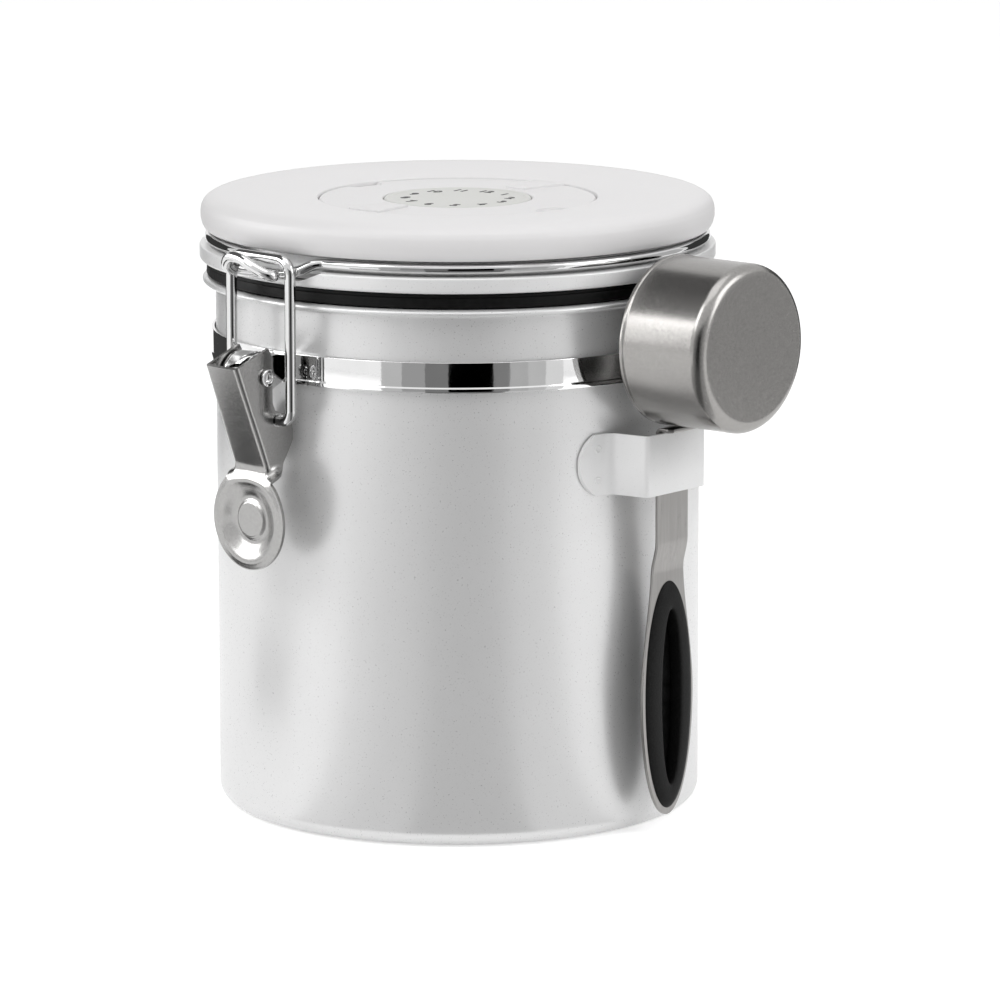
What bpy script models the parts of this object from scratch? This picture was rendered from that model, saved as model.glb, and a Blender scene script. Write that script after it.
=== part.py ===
# Coffee canister with a wire-hinged lid, a toggle latch, a vent valve, a month dial and a scoop.
# Metres, +Z up. The origin is the centre of the base. The latch faces -Y and the hinge +Y.
import math

import bmesh
import bpy
from mathutils import Vector

for old in list(bpy.data.objects):
    bpy.data.objects.remove(old, do_unlink=True)

# Shared fits
gap = 0.0003              # between two pieces that touch
overrun = 0.002           # how far a cutter passes the face that it cuts
round_steps = 48          # faces around the large round pieces
small_steps = 24          # faces around the small round pieces
arc_steps = 4             # faces in a rounded corner

# Canister body
body_radius = 0.0600
body_height = 0.1323
body_wall = 0.0007
floor_thickness = 0.0012
base_corner = 0.0042
base_ring_inset = 0.0120   # the stiffening ring's middle, in from the wall
base_ring_width = 0.0040
base_ring_depth = 0.0006
bead_radius = 0.00095
bead_reach = 0.0032

# Clamp band around the neck
band_drop = 0.0203         # the band's lower edge, below the rim
band_height = 0.0074
band_thickness = 0.0008
band_lip_height = 0.0014
band_lip_reach = 0.0003

# Lid: gasket, pan, wire, cover
gasket_reach = 0.0022      # beyond the canister's wall
gasket_width = 0.0057
gasket_height = 0.0034
gasket_lip_width = 0.0009
gasket_lip_share = 0.35   # of the gasket's height, the depth of its sealing groove
pan_reach = 0.0039         # beyond the canister's wall
pan_sheet = 0.0008
pan_wall_height = 0.0038
pan_edge_wall = 0.00095
wire_diameter = 0.0027
ring_inset = 0.0026        # the wire ring's middle, in from the pan's edge
ring_lift = 0.0005         # the wire, above the pan's shoulder
cover_inset = 0.0003       # the cover's widest point, in from the pan's edge
cover_foot_inset = 0.0017
cover_flat_inset = 0.0054
cover_height = 0.00855
cover_dish = 0.0013        # how far the top sinks from its rim to the dial
cover_bulge_share = 0.35  # of the cover's height, where it is widest
cover_wall = 0.0018
cover_lift = 0.00055      # open line between the wire and the cover
skirt_wall = 0.0018
boss_radius = 0.0035
boss_inset = 0.0159        # the bosses' middles, in from the pan's edge
screw_count = 4
screw_shank = 0.0012
screw_head_radius = 0.0028
screw_head_height = 0.0014
screw_length = 0.0070

# Month dial in the cover
dial_radius = 0.0346
dial_depth = 0.0020
dial_lip_width = 0.0022
dial_lip_height = 0.0005
disc_radius = 0.0182
disc_thickness = 0.0008
disc_stem_radius = 0.0050
clip_radius = 0.0085
clip_thickness = 0.0008
grip_inset = 0.0025        # the grips, out from the ring's inner edge
grip_angle = math.radians(8.7)
grip_rise = 0.0006
grip_bearing = math.radians(1.5)
notch_bearing = math.radians(90.5)
notch_radius = 0.0052
notch_depth = 0.0007

# Vent valve in the middle of the pan
valve_radius = 0.0139
valve_wall = 0.0013
valve_flange_radius = 0.0170
valve_flange_height = 0.0010
seat_rise = 0.0007         # the valve seat, above the pan's underside
valve_rise = 0.0036        # the housing's top, above its seat
valve_drop = 0.0040        # the housing's foot, below its seat
seat_thickness = 0.0010
vent_count = 6
vent_radius = 0.0016
vent_circle = 0.0056
membrane_radius = 0.0090
membrane_thickness = 0.0008
stem_radius = 0.0012
stem_length = 0.0027
bulb_radius = 0.0022
bulb_height = 0.0006
filter_thickness = 0.0007
grille_thickness = 0.0008
grille_hole_radius = 0.0022
grille_hole_circle = 0.0070

# Rear hinge: the lid wire turns in a rolled sheet bracket on the band
hinge_reach = 0.0030       # the hinge line, beyond the pan's edge
hinge_drop = 0.0048        # the hinge line, below the canister's rim
hinge_half_width = 0.0130
hinge_bracket_half_width = 0.0080
bracket_sheet = 0.0008
knuckle_sweep = math.radians(285)

# Wire eye at the front of the lid
eye_half_width = 0.0124
eye_reach = 0.0050        # from the bail's crossbar out to the front strand
eye_drop = 0.0037         # from the crossbar down to the strands under it
exit_angle = math.radians(13.5)
notch_flare_share = 2.3   # of the wire's diameter, how far each side of the front notch leans out

# Latch
pin_reach = 0.0092         # the pin, beyond the band
pin_rise = 0.0026          # the pin, above the band's lower edge
pin_radius = 0.0015
pin_head_radius = 0.0021
pin_head_height = 0.0007
hook_in = 0.0035          # bail hooks, from the pin towards the canister
hook_down = 0.0107        # bail hooks, below the pin
bail_half_width = 0.0103
bail_corner = 0.0036
hook_corner = 0.0029
hook_end = 0.00415        # where the bail's hooks stop, from the middle
lever_sheet = 0.0009
lever_half_width = 0.0055
lever_drop = 0.0226       # from the pin down to the lever's neck
lever_rake = 0.0100       # how far the lever's face leans out from neck to top
lever_face_out = 0.0101
lever_face_up = 0.0030
lever_back_share = 0.55    # of hook_in, how far the cheeks reach behind the pin
hook_lobe_radius = 0.0043
pad_radius = 0.0123
pad_reach = 0.0016         # the pad's face, beyond the pin
neck_length = 0.0127       # from the lever's neck down to the pad's middle
neck_share = 0.67          # of the pad's radius, where the neck ends in it
pad_dish = 0.0016
ear_sheet = 0.0009
ear_radius = 0.0058
ear_foot_rise = 0.0018     # the foot's lower edge, above the band's
ear_foot_drop = 0.0004     # the foot's upper edge, below the band's

# Scoop and its holder, a little past square to the latch
scoop_bearing = math.radians(94.2)
holder_drop = 0.04715      # the holder's lower edge, below the rim
holder_height = 0.0150
holder_sheet = 0.0008
holder_reach = 0.0101      # the holder's face, beyond the wall
holder_face_half_width = 0.01075
holder_slope_width = 0.0016
holder_ear_length = 0.0093
holder_end_radius = 0.0086
cup_reach = 0.0088         # the cup's rim plane, beyond the canister's wall
cup_radius = 0.0205
cup_lip = 0.0002
cup_lip_width = 0.0012
cup_wall = 0.0009
cup_depth = 0.0247
cup_corner = 0.0031
handle_sheet = 0.0010
handle_half_width = 0.00575
handle_bulge_half_width = 0.0097
neck_step = 0.0014         # how far the neck stands out beyond the grip's end
neck_step_rise = 0.0024    # the foot of the neck's step, above the grip
neck_step_length = 0.0080
shelf_length = 0.0045      # the neck's bent end, which rests on the holder under the cup
handle_tip = 0.0046
handle_wide_height = 0.0345
handle_flare_top = 0.0680
grip_half_width = 0.0087
grip_bottom = 0.0063
grip_top = 0.0629
grip_slot_half_width = 0.0036
grip_slot_bottom = 0.0124
grip_slot_top = 0.0560
grip_thickness = 0.0038
grip_wall_share = 0.30    # of the grip's band, from its slot out to the steel

# Heights and radii that follow from the sizes above
base_ring_radius = body_radius - base_ring_inset
band_bottom = body_height - band_drop
band_top = band_bottom + band_height
band_radius = body_radius + gap + band_thickness
bead_height = body_height - bead_radius
bead_centre = body_radius + bead_reach - bead_radius
gasket_radius = body_radius + gasket_reach
gasket_bottom = body_height + gap
gasket_top = gasket_bottom + gasket_height
pan_radius = body_radius + pan_reach
pan_bottom = gasket_top + gap
pan_floor = pan_bottom + pan_sheet
pan_top = pan_bottom + pan_wall_height
wire_radius = wire_diameter / 2
ring_radius = pan_radius - ring_inset
ring_height = pan_top + ring_lift + wire_radius
hub_radius = ring_radius - wire_radius - gap
hub_top = ring_height + wire_radius
cover_radius = pan_radius - cover_inset
cover_foot_radius = pan_radius - cover_foot_inset
cover_flat_radius = pan_radius - cover_flat_inset
boss_circle = pan_radius - boss_inset
cover_bottom = hub_top + cover_lift
cover_top = cover_bottom + cover_height
dial_rim = cover_top - cover_dish
dial_floor = dial_rim - dial_depth
skirt_radius = hub_radius - pan_sheet - gap
skirt_bottom = pan_floor + gap
seat_height = pan_bottom + seat_rise
valve_top = seat_height + valve_rise
valve_bottom = seat_height - valve_drop
hinge_out = pan_radius + hinge_reach
hinge_height = body_height - hinge_drop
pin_out = band_radius + pin_reach
pin_height = band_bottom + pin_rise
bail_out = pin_out - hook_in
bail_top = hub_top - gap
hook_height = pin_height - hook_down
pad_out = pin_out + pad_reach
pad_height = pin_height - lever_drop - neck_length
ear_foot_bottom = band_bottom + ear_foot_rise
ear_foot_top = band_top - ear_foot_drop
holder_bottom = body_height - holder_drop
holder_top = holder_bottom + holder_height
holder_face_out = body_radius + holder_reach
cup_out = body_radius + cup_reach
handle_out = holder_face_out - holder_sheet - gap - (grip_thickness + handle_sheet) / 2
neck_step_bottom = grip_top + neck_step_rise
neck_step_top = neck_step_bottom + neck_step_length
cup_height = holder_top + gap + handle_sheet + gap + cup_radius + cup_lip


def make_material(name, colour, roughness, metallic=0.0):
    material = bpy.data.materials.new(name)
    material.use_nodes = True
    shader = material.node_tree.nodes["Principled BSDF"]
    shader.inputs["Base Color"].default_value = (*colour, 1.0)
    shader.inputs["Roughness"].default_value = roughness
    shader.inputs["Metallic"].default_value = metallic
    material.diffuse_color = (*colour, 1.0)
    return material


def add_object(name, mesh, material, parent=None):
    """Put a mesh in the scene, shaded smooth with its sharp edges kept."""
    thing = bpy.data.objects.new(name, mesh)
    bpy.context.scene.collection.objects.link(thing)
    mesh.materials.append(material)
    mesh.shade_smooth()
    mesh.set_sharp_from_angle(angle=math.radians(35))
    thing.parent = parent
    return thing


def finish_mesh(shape, name):
    """Close a bmesh, turn its faces outwards and return it as a mesh."""
    bmesh.ops.remove_doubles(shape, verts=shape.verts, dist=gap / 1000)
    bmesh.ops.dissolve_degenerate(shape, edges=shape.edges, dist=gap / 1000)
    bmesh.ops.recalc_face_normals(shape, faces=shape.faces)
    mesh = bpy.data.meshes.new(name)
    shape.to_mesh(mesh)
    shape.free()
    return mesh


def add_turned(name, profile, steps, material, parent=None, closed=True):
    """Turn a profile of (radius, height) points about Z. An open profile ends on the axis."""
    shape = bmesh.new()
    rim = [shape.verts.new((radius, 0, height)) for radius, height in profile]
    edges = [shape.edges.new(pair) for pair in zip(rim, rim[1:])]
    if closed:
        edges.append(shape.edges.new((rim[-1], rim[0])))
    bmesh.ops.spin(shape, geom=rim + edges, cent=(0, 0, 0), axis=(0, 0, 1),
                   angle=math.tau, steps=steps, use_merge=True)
    return add_object(name, finish_mesh(shape, name), material, parent)


def add_prism(name, outline, start, end, material, parent=None, along="Z"):
    """Extrude an outline: (x, y) points along Z, (outward, z) along X, or (x, z) outwards along Y."""
    shape = bmesh.new()
    if along == "Z":
        corners = [shape.verts.new((x, y, start)) for x, y in outline]
        step = Vector((0, 0, end - start))
    elif along == "X":
        corners = [shape.verts.new((start, -out, z)) for out, z in outline]
        step = Vector((end - start, 0, 0))
    else:
        corners = [shape.verts.new((x, -start, z)) for x, z in outline]
        step = Vector((0, start - end, 0))
    face = shape.faces.new(corners)
    grown = bmesh.ops.extrude_face_region(shape, geom=[face])
    moved = [part for part in grown["geom"] if isinstance(part, bmesh.types.BMVert)]
    bmesh.ops.translate(shape, verts=moved, vec=step)
    return add_object(name, finish_mesh(shape, name), material, parent)


def add_wire(name, points, diameter, material, parent=None):
    """Sweep a round wire with filled ends along a list of points."""
    curve = bpy.data.curves.new(name, "CURVE")
    curve.dimensions = "3D"
    curve.bevel_depth = diameter / 2
    curve.bevel_resolution = 2
    curve.use_fill_caps = True
    spline = curve.splines.new("POLY")
    spline.points.add(len(points) - 1)
    for place, point in zip(spline.points, points):
        place.co = (*point, 1)
    curve.materials.append(material)
    thing = bpy.data.objects.new(name, curve)
    bpy.context.scene.collection.objects.link(thing)
    thing.parent = parent
    return thing


def add_pivot(name, location=(0, 0, 0), bearing=0.0):
    """An empty that carries pieces. Bearing 0 faces -Y and turns towards +X."""
    pivot = bpy.data.objects.new(name, None)
    bpy.context.scene.collection.objects.link(pivot)
    pivot.location = location
    pivot.rotation_euler.z = bearing
    return pivot


def combine(target, tool, operation):
    """Join a tool to a piece or cut it away. The tool itself is only a guide."""
    tool.hide_render = True
    tool.display_type = "WIRE"
    change = target.modifiers.new(tool.name, "BOOLEAN")
    change.object = tool
    change.operation = operation
    change.solver = "EXACT"


def arc(centre_x, centre_y, radius, start, end, steps):
    """Points on an arc, with both ends. Angles are in degrees."""
    angles = [math.radians(start + (end - start) * i / steps) for i in range(steps + 1)]
    return [(centre_x + radius * math.cos(a), centre_y + radius * math.sin(a)) for a in angles]


def circle(centre_x, centre_y, radius, steps):
    return arc(centre_x, centre_y, radius, 0, 360, steps)[:-1]


def smooth_path(points, steps):
    """A Catmull-Rom curve through the points, with steps pieces between each pair."""
    held = [Vector(p) for p in points]
    held = [held[0] * 2 - held[1]] + held + [held[-1] * 2 - held[-2]]
    path = []
    for before, a, b, after in zip(held, held[1:], held[2:], held[3:]):
        for i in range(steps):
            t = i / steps
            slope = b - before
            bend = 2 * before - 5 * a + 4 * b - after
            twist = 3 * a - before - 3 * b + after
            path.append((2 * a + slope * t + bend * t ** 2 + twist * t ** 3) / 2)
    return path + [held[-2]]


def strip_outline(centre_line, thickness):
    """The outline of a bent strip of sheet, from its centre line."""
    line = [Vector(p) for p in centre_line]
    left, right = [], []
    for i, point in enumerate(line):
        before = line[max(i - 1, 0)]
        after = line[min(i + 1, len(line) - 1)]
        side_a = (point - before) if i else (after - point)
        side_b = (after - point) if i < len(line) - 1 else (point - before)
        normal = (side_a.normalized() + side_b.normalized()).normalized().orthogonal()
        reach = thickness / 2 / max(normal.dot(side_a.normalized().orthogonal()), 0.5)
        left.append(point + normal * reach)
        right.append(point - normal * reach)
    return [tuple(p) for p in left + right[::-1]]


# Finishes
paint = make_material("silver_paint", (0.62, 0.62, 0.62), 0.45, 0.35)
chrome = make_material("chrome", (0.80, 0.80, 0.80), 0.08, 1.0)
steel = make_material("brushed_steel", (0.55, 0.54, 0.52), 0.28, 1.0)
white_plastic = make_material("white_plastic", (0.82, 0.81, 0.81), 0.38)
dial_plastic = make_material("dial_plastic", (0.80, 0.80, 0.79), 0.42)
rubber = make_material("black_rubber", (0.012, 0.012, 0.012), 0.55)
silicone = make_material("clear_silicone", (0.70, 0.70, 0.68), 0.45)
felt = make_material("filter_felt", (0.75, 0.72, 0.65), 0.95)


def build_body():
    """The spun can: flat base with a stiffening ring, straight wall, rolled rim."""
    inner = body_radius - body_wall
    ring_in = base_ring_radius - base_ring_width / 2
    ring_out = base_ring_radius + base_ring_width / 2
    profile = [(0, 0), (ring_in, 0), (ring_in + base_ring_depth, base_ring_depth),
               (ring_out - base_ring_depth, base_ring_depth), (ring_out, 0)]
    profile += arc(body_radius - base_corner, base_corner, base_corner, -90, 0, arc_steps + 1)
    profile += [(body_radius, bead_height - bead_radius - base_ring_depth)]
    profile += arc(bead_centre, bead_height, bead_radius, 225, 450, 2 * arc_steps)
    profile += [(inner + body_wall / 2, body_height - body_wall / 2), (inner, bead_height)]
    profile += arc(body_radius - base_corner, base_corner, base_corner - body_wall, 0, -70, arc_steps)
    profile += [(body_radius - base_corner, floor_thickness), (0, floor_thickness)]
    add_turned("canister_body", profile, round_steps, paint, closed=False)


def build_band():
    """A steel strap around the neck, with a raised lip along its lower edge."""
    inner = band_radius - band_thickness
    lip = band_bottom + band_lip_height
    profile = [(inner, band_bottom), (band_radius + band_lip_reach, band_bottom),
               (band_radius + band_lip_reach, lip - band_lip_reach), (band_radius, lip),
               (band_radius, band_top), (inner, band_top)]
    add_turned("clamp_band", profile, round_steps, chrome)


def build_gasket(lid):
    """A flat ring with a groove that sits on the rolled rim."""
    inner = gasket_radius - gasket_width
    lip = gasket_bottom + gasket_height * gasket_lip_share
    groove_in = bead_centre - 2 * bead_radius
    groove_out = gasket_radius - gasket_lip_width
    profile = [(inner, gasket_bottom), (groove_in, gasket_bottom), (groove_in + gap, lip),
               (groove_out - gap, lip), (groove_out, gasket_bottom), (gasket_radius - gap, gasket_bottom),
               (gasket_radius, gasket_bottom + gap), (gasket_radius, gasket_top), (inner, gasket_top)]
    add_turned("lid_gasket", profile, round_steps, rubber, lid)


def build_pan(lid):
    """The drawn metal lid: a flat floor, an upright edge, a shoulder under the wire, and a hub inside it."""
    hole = valve_radius + gap
    edge_in = pan_radius - pan_edge_wall
    hub_in = hub_radius - pan_sheet
    profile = [(hole, pan_bottom), (pan_radius - pan_sheet, pan_bottom), (pan_radius, pan_floor)]
    bead = pan_edge_wall / 2
    profile += arc(pan_radius - bead, pan_top - bead, bead, 0, 90, arc_steps)
    profile += [(hub_radius, pan_top), (hub_radius, hub_top), (hub_in, hub_top),
                (hub_in, pan_top - pan_sheet), (edge_in, pan_top - pan_sheet),
                (edge_in, pan_floor), (hole, pan_floor)]
    pan = add_turned("lid_pan", profile, round_steps, paint, lid)
    # The wire leaves the shoulder through a wide tapered notch at the latch.
    low = bail_top - eye_drop - wire_radius - gap
    high = pan_top + overrun
    narrow = eye_half_width - wire_diameter
    wide = narrow + wire_diameter * notch_flare_share * (high - low) / (pan_top - low)
    front = [(-wide, high), (-narrow, low), (narrow, low), (wide, high)]
    near = hub_radius + gap
    far = pan_radius + overrun
    combine(pan, add_prism("notch_front", front, near, far, paint, lid, along="Y"), "DIFFERENCE")
    for i in range(screw_count):
        angle = math.tau * (i + 0.5) / screw_count
        outline = circle(boss_circle * math.cos(angle), boss_circle * math.sin(angle),
                         screw_shank + 2 * gap, small_steps // 2)
        tool = add_prism(f"pan_hole_{i}", outline, pan_bottom - overrun, pan_floor + overrun, paint, lid)
        combine(pan, tool, "DIFFERENCE")


def build_cover(lid):
    """The moulded cover: a rounded cap with a dial recess, a skirt and four screw bosses."""
    bulge = cover_bottom + cover_height * cover_bulge_share
    crown = cover_top - bulge
    side = [(cover_foot_radius + (cover_radius - cover_foot_radius) * math.sin(math.pi / 2 * s),
             cover_bottom + (bulge - cover_bottom) * s) for s in (0, 0.5, 1)]
    # Each point of the shoulder is a share of the way in to the flat top and up to it.
    shoulder_shares = [(0.02, 0.42), (0.12, 0.65), (0.25, 0.78), (0.50, 0.91), (1, 1)]
    shoulder = [(cover_radius - (cover_radius - cover_flat_radius) * inward, bulge + crown * up)
                for inward, up in shoulder_shares]
    under = cover_top - cover_wall
    profile = side + shoulder
    profile += [(dial_radius, dial_rim), (dial_radius, dial_floor),
                (disc_stem_radius + gap, dial_floor), (disc_stem_radius + gap, dial_floor - cover_wall),
                (dial_radius + cover_wall, dial_floor - cover_wall),
                (dial_radius + cover_wall, dial_rim - cover_wall),
                (skirt_radius - skirt_wall, under), (skirt_radius - skirt_wall, skirt_bottom),
                (skirt_radius, skirt_bottom), (skirt_radius, cover_bottom + cover_wall),
                (cover_foot_radius - cover_wall, cover_bottom + cover_wall / 2),
                (cover_foot_radius - cover_wall / 2, cover_bottom)]
    cover = add_turned("lid_cover", profile, round_steps, white_plastic, lid)
    for i in range(screw_count):
        angle = math.tau * (i + 0.5) / screw_count
        x, y = boss_circle * math.cos(angle), boss_circle * math.sin(angle)
        boss = add_prism(f"boss_{i}", circle(x, y, boss_radius, small_steps // 2),
                         skirt_bottom, under + cover_wall / 2, white_plastic, lid)
        combine(cover, boss, "UNION")
        pilot = add_prism(f"pilot_{i}", circle(x, y, screw_shank + gap, small_steps // 3),
                          skirt_bottom - overrun, pan_bottom + screw_length + gap, white_plastic, lid)
        combine(cover, pilot, "DIFFERENCE")


def build_screws(lid):
    """Four screws from below, through the pan and into the cover's bosses."""
    head_top = pan_bottom - gap
    head_bottom = head_top - screw_head_height
    screw_top = pan_bottom + screw_length
    profile = [(0, head_bottom), (screw_head_radius - gap, head_bottom),
               (screw_head_radius, head_top - screw_head_height / 2), (screw_head_radius, head_top),
               (screw_shank, head_top), (screw_shank, screw_top), (0, screw_top)]
    screw = add_turned("cover_screw_1", profile, small_steps // 2, steel, lid, closed=False)
    for i in range(screw_count):
        angle = math.tau * (i + 0.5) / screw_count
        if i:
            screw = bpy.data.objects.new(f"cover_screw_{i + 1}", screw.data)
            bpy.context.scene.collection.objects.link(screw)
            screw.parent = lid
        screw.location = (boss_circle * math.cos(angle), boss_circle * math.sin(angle), 0)


def ring_sector(inner, outer, half_angle, bearing):
    """An outline between two radii, centred on a bearing that is measured from -Y towards +X."""
    middle = math.degrees(bearing) - 90
    half = math.degrees(half_angle)
    return (arc(0, 0, outer, middle - half, middle + half, arc_steps)
            + arc(0, 0, inner, middle + half, middle - half, arc_steps))


def build_dial(lid):
    """The turning ring with two raised grips and two notches, held down by the number disc."""
    pivot = add_pivot("dial_axis")
    pivot.parent = lid
    bottom = dial_floor + gap
    top = dial_rim - gap
    outer = dial_radius - gap
    inner = disc_radius + gap
    lip_in = disc_radius - dial_lip_width
    profile = [(lip_in, bottom), (outer, bottom), (outer, top - dial_lip_height),
               (outer - dial_lip_height, top), (inner + dial_lip_height / 2, top),
               (inner, top - dial_lip_height / 2),
               (inner, bottom + dial_lip_height), (lip_in, bottom + dial_lip_height)]
    ring = add_turned("dial_ring", profile, round_steps, dial_plastic, pivot)
    for i in range(2):
        turn = math.pi * i
        outline = ring_sector(inner + grip_inset, outer - dial_lip_height, grip_angle, grip_bearing + turn)
        pad = add_prism(f"dial_grip_{i}", outline, top - dial_lip_height, top + grip_rise,
                        dial_plastic, pivot)
        combine(ring, pad, "UNION")
        angle = notch_bearing + turn
        outline = circle(outer * math.sin(angle), -outer * math.cos(angle), notch_radius, small_steps // 2)
        cutter = add_prism(f"dial_notch_{i}", outline, top - notch_depth, top + overrun, dial_plastic, pivot)
        combine(ring, cutter, "DIFFERENCE")
    disc_bottom = top - disc_thickness
    clip_top = dial_floor - cover_wall - gap
    clip_bottom = clip_top - clip_thickness
    stem_end = clip_bottom - 2 * gap
    profile = [(0, stem_end), (disc_stem_radius - gap, stem_end), (disc_stem_radius, clip_bottom - gap),
               (disc_stem_radius, disc_bottom), (disc_radius, disc_bottom), (disc_radius, top - gap),
               (disc_radius - gap, top), (0, top)]
    add_turned("number_disc", profile, round_steps, dial_plastic, lid, closed=False)
    clip_hole = disc_stem_radius + gap
    profile = [(clip_hole, clip_bottom), (clip_radius, clip_bottom), (clip_radius, clip_top),
               (clip_hole, clip_top)]
    add_turned("dial_clip", profile, small_steps, steel, lid)


def ring_of_holes(piece, count, circle_radius, hole_radius, low, high, material, parent):
    """Cut a ring of equal round holes."""
    for i in range(count):
        angle = math.tau * i / count
        outline = circle(circle_radius * math.cos(angle), circle_radius * math.sin(angle),
                         hole_radius, small_steps // 3)
        tool = add_prism(f"{piece.name}_hole_{i}", outline, low - overrun, high + overrun, material, parent)
        combine(piece, tool, "DIFFERENCE")


def build_valve(lid):
    """A one-way vent: housing, silicone membrane, felt filter and a clip-in grille."""
    bore = valve_radius - valve_wall
    seat_top = seat_height + seat_thickness
    flange_top = pan_bottom - gap
    stem_hole = stem_radius + gap
    profile = [(valve_radius - valve_wall, valve_bottom), (valve_radius, valve_bottom),
               (valve_radius, flange_top - valve_flange_height),
               (valve_flange_radius, flange_top - valve_flange_height), (valve_flange_radius, flange_top),
               (valve_radius, flange_top), (valve_radius, valve_top), (bore, valve_top), (bore, seat_top),
               (stem_hole, seat_top), (stem_hole, seat_height), (bore, seat_height)]
    housing = add_turned("valve_housing", profile, small_steps + small_steps // 3, white_plastic, lid)
    ring_of_holes(housing, vent_count, vent_circle, vent_radius, seat_height, seat_top, white_plastic, lid)

    pivot = add_pivot("membrane_slide", (0, 0, seat_top + gap))
    pivot.parent = lid
    profile = [(0, -stem_length - bulb_height), (bulb_radius, -stem_length - bulb_height),
               (bulb_radius, -stem_length), (stem_radius, -stem_length), (stem_radius, 0),
               (membrane_radius, 0), (membrane_radius, membrane_thickness / 2),
               (stem_radius, membrane_thickness), (0, membrane_thickness)]
    add_turned("valve_membrane", profile, small_steps, silicone, pivot, closed=False)

    grille_top = valve_bottom + grille_thickness
    filter_bottom = grille_top + gap
    disc = bore - gap
    profile = [(0, filter_bottom), (disc, filter_bottom), (disc, filter_bottom + filter_thickness),
               (0, filter_bottom + filter_thickness)]
    add_turned("valve_filter", profile, small_steps, felt, lid, closed=False)
    profile = [(0, valve_bottom), (disc, valve_bottom), (disc, grille_top), (0, grille_top)]
    grille = add_turned("valve_grille", profile, small_steps, white_plastic, lid, closed=False)
    ring_of_holes(grille, vent_count, grille_hole_circle, grille_hole_radius,
                  valve_bottom, grille_top, white_plastic, lid)


def ring_points(start, end, steps):
    """Points of the lid wire on the pan's shoulder, between two bearings in radians."""
    angles = [start + (end - start) * i / steps for i in range(steps + 1)]
    return [(ring_radius * math.sin(a), -ring_radius * math.cos(a), ring_height) for a in angles]


def build_lid_wire(lid):
    """One wire: it rings the lid, turns down into the hinge behind and crosses over itself in front."""
    # Each point is a share of the eye's half width, of its reach beyond the bail's crossbar
    # and of its drop below the crossbar, from the shoulder outwards.
    left_shares = [(-0.85, -1.04, 0.41), (-0.61, -0.60, 0.76), (-0.56, 0.00, 1.00), (-0.58, 0.56, 0.95),
                   (-0.53, 1.00, 0.51), (-0.34, 1.22, -0.05), (-0.04, 1.22, -0.05), (0.24, 1.16, 0.35),
                   (0.48, 0.94, 0.78), (0.58, 0.60, 0.97), (0.52, 0.30, 1.00)]
    right_shares = [(1.00, -1.04, 0.38), (0.82, -0.62, 0.73), (0.56, -0.32, 0.97), (0.28, -0.10, 1.00),
                    (0.00, 0.24, 1.00), (-0.23, 0.56, 0.97), (-0.31, 0.68, 0.92)]

    def eye(shares, side):
        path = ring_points(side * exit_angle * 1.25, side * exit_angle, 1)
        for across, out, down in shares:
            path.append((across * eye_half_width, -(bail_out + out * eye_reach), bail_top - down * eye_drop))
        return smooth_path(path, 2)[2:]

    rear_angle = math.pi - math.asin((hinge_half_width + wire_radius) / ring_radius)
    bend = wire_diameter
    tail = [(hinge_half_width + wire_radius / 5, (ring_radius + hinge_out) / 2, ring_height),
            (hinge_half_width, hinge_out - bend / 4, ring_height - bend / 4),
            (hinge_half_width, hinge_out, ring_height - bend),
            (hinge_half_width, hinge_out, hinge_height + bend)]
    corner = arc(hinge_half_width - bend, hinge_height + bend, bend, -20, -90, arc_steps - 1)
    tail += [(x, hinge_out, z) for x, z in corner]
    right_half = tail[::-1] + ring_points(rear_angle, exit_angle, round_steps // 2) + eye(right_shares, 1)
    left_half = tail[::-1] + ring_points(rear_angle, exit_angle, round_steps // 2)
    left_half = [(-x, y, z) for x, y, z in left_half] + eye(left_shares, -1)
    return add_wire("lid_wire", left_half[::-1] + right_half, wire_diameter, chrome, lid)


def build_hinge_bracket():
    """A sheet bracket on the band: a flat foot, a rising tongue and a knuckle rolled round the wire."""
    station = add_pivot("hinge_station", bearing=math.pi)
    half = bracket_sheet / 2
    foot_out = band_radius + band_lip_reach + gap + half
    roll = wire_radius + gap + half
    start = math.degrees(math.atan2(band_top - hinge_height, foot_out - hinge_out)) - 60
    curl = arc(hinge_out, hinge_height, roll, start, start - math.degrees(knuckle_sweep), 3 * arc_steps)
    line = [(foot_out, band_bottom + band_lip_height), (foot_out, band_top)] + curl
    outline = strip_outline(line, bracket_sheet)
    add_prism("hinge_bracket", outline, -hinge_bracket_half_width, hinge_bracket_half_width,
              chrome, station, along="X")


def build_latch_bracket():
    """A channel on the band: a foot plate and two ears that carry the lever's pin."""
    foot_out = band_radius + band_lip_reach + gap
    ear_out = lever_half_width - lever_sheet - 2 * gap
    foot = [(foot_out, ear_foot_bottom), (foot_out + ear_sheet, ear_foot_bottom),
            (foot_out + ear_sheet, ear_foot_top), (foot_out, ear_foot_top)]
    bracket = add_prism("latch_bracket", foot, -ear_out, ear_out, chrome, along="X")
    ear = arc(pin_out, pin_height, ear_radius, -80, 100, 2 * arc_steps)
    ear += [(foot_out, ear_foot_top), (foot_out, ear_foot_bottom)]
    for side in (-1, 1):
        plate = add_prism(f"ear_{side}", ear, side * ear_out, side * (ear_out - ear_sheet), chrome, along="X")
        combine(bracket, plate, "UNION")
    hole = add_prism("ear_hole", circle(pin_out, pin_height, pin_radius + gap, small_steps // 2),
                     -ear_out - overrun, ear_out + overrun, chrome, along="X")
    combine(bracket, hole, "DIFFERENCE")


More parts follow.
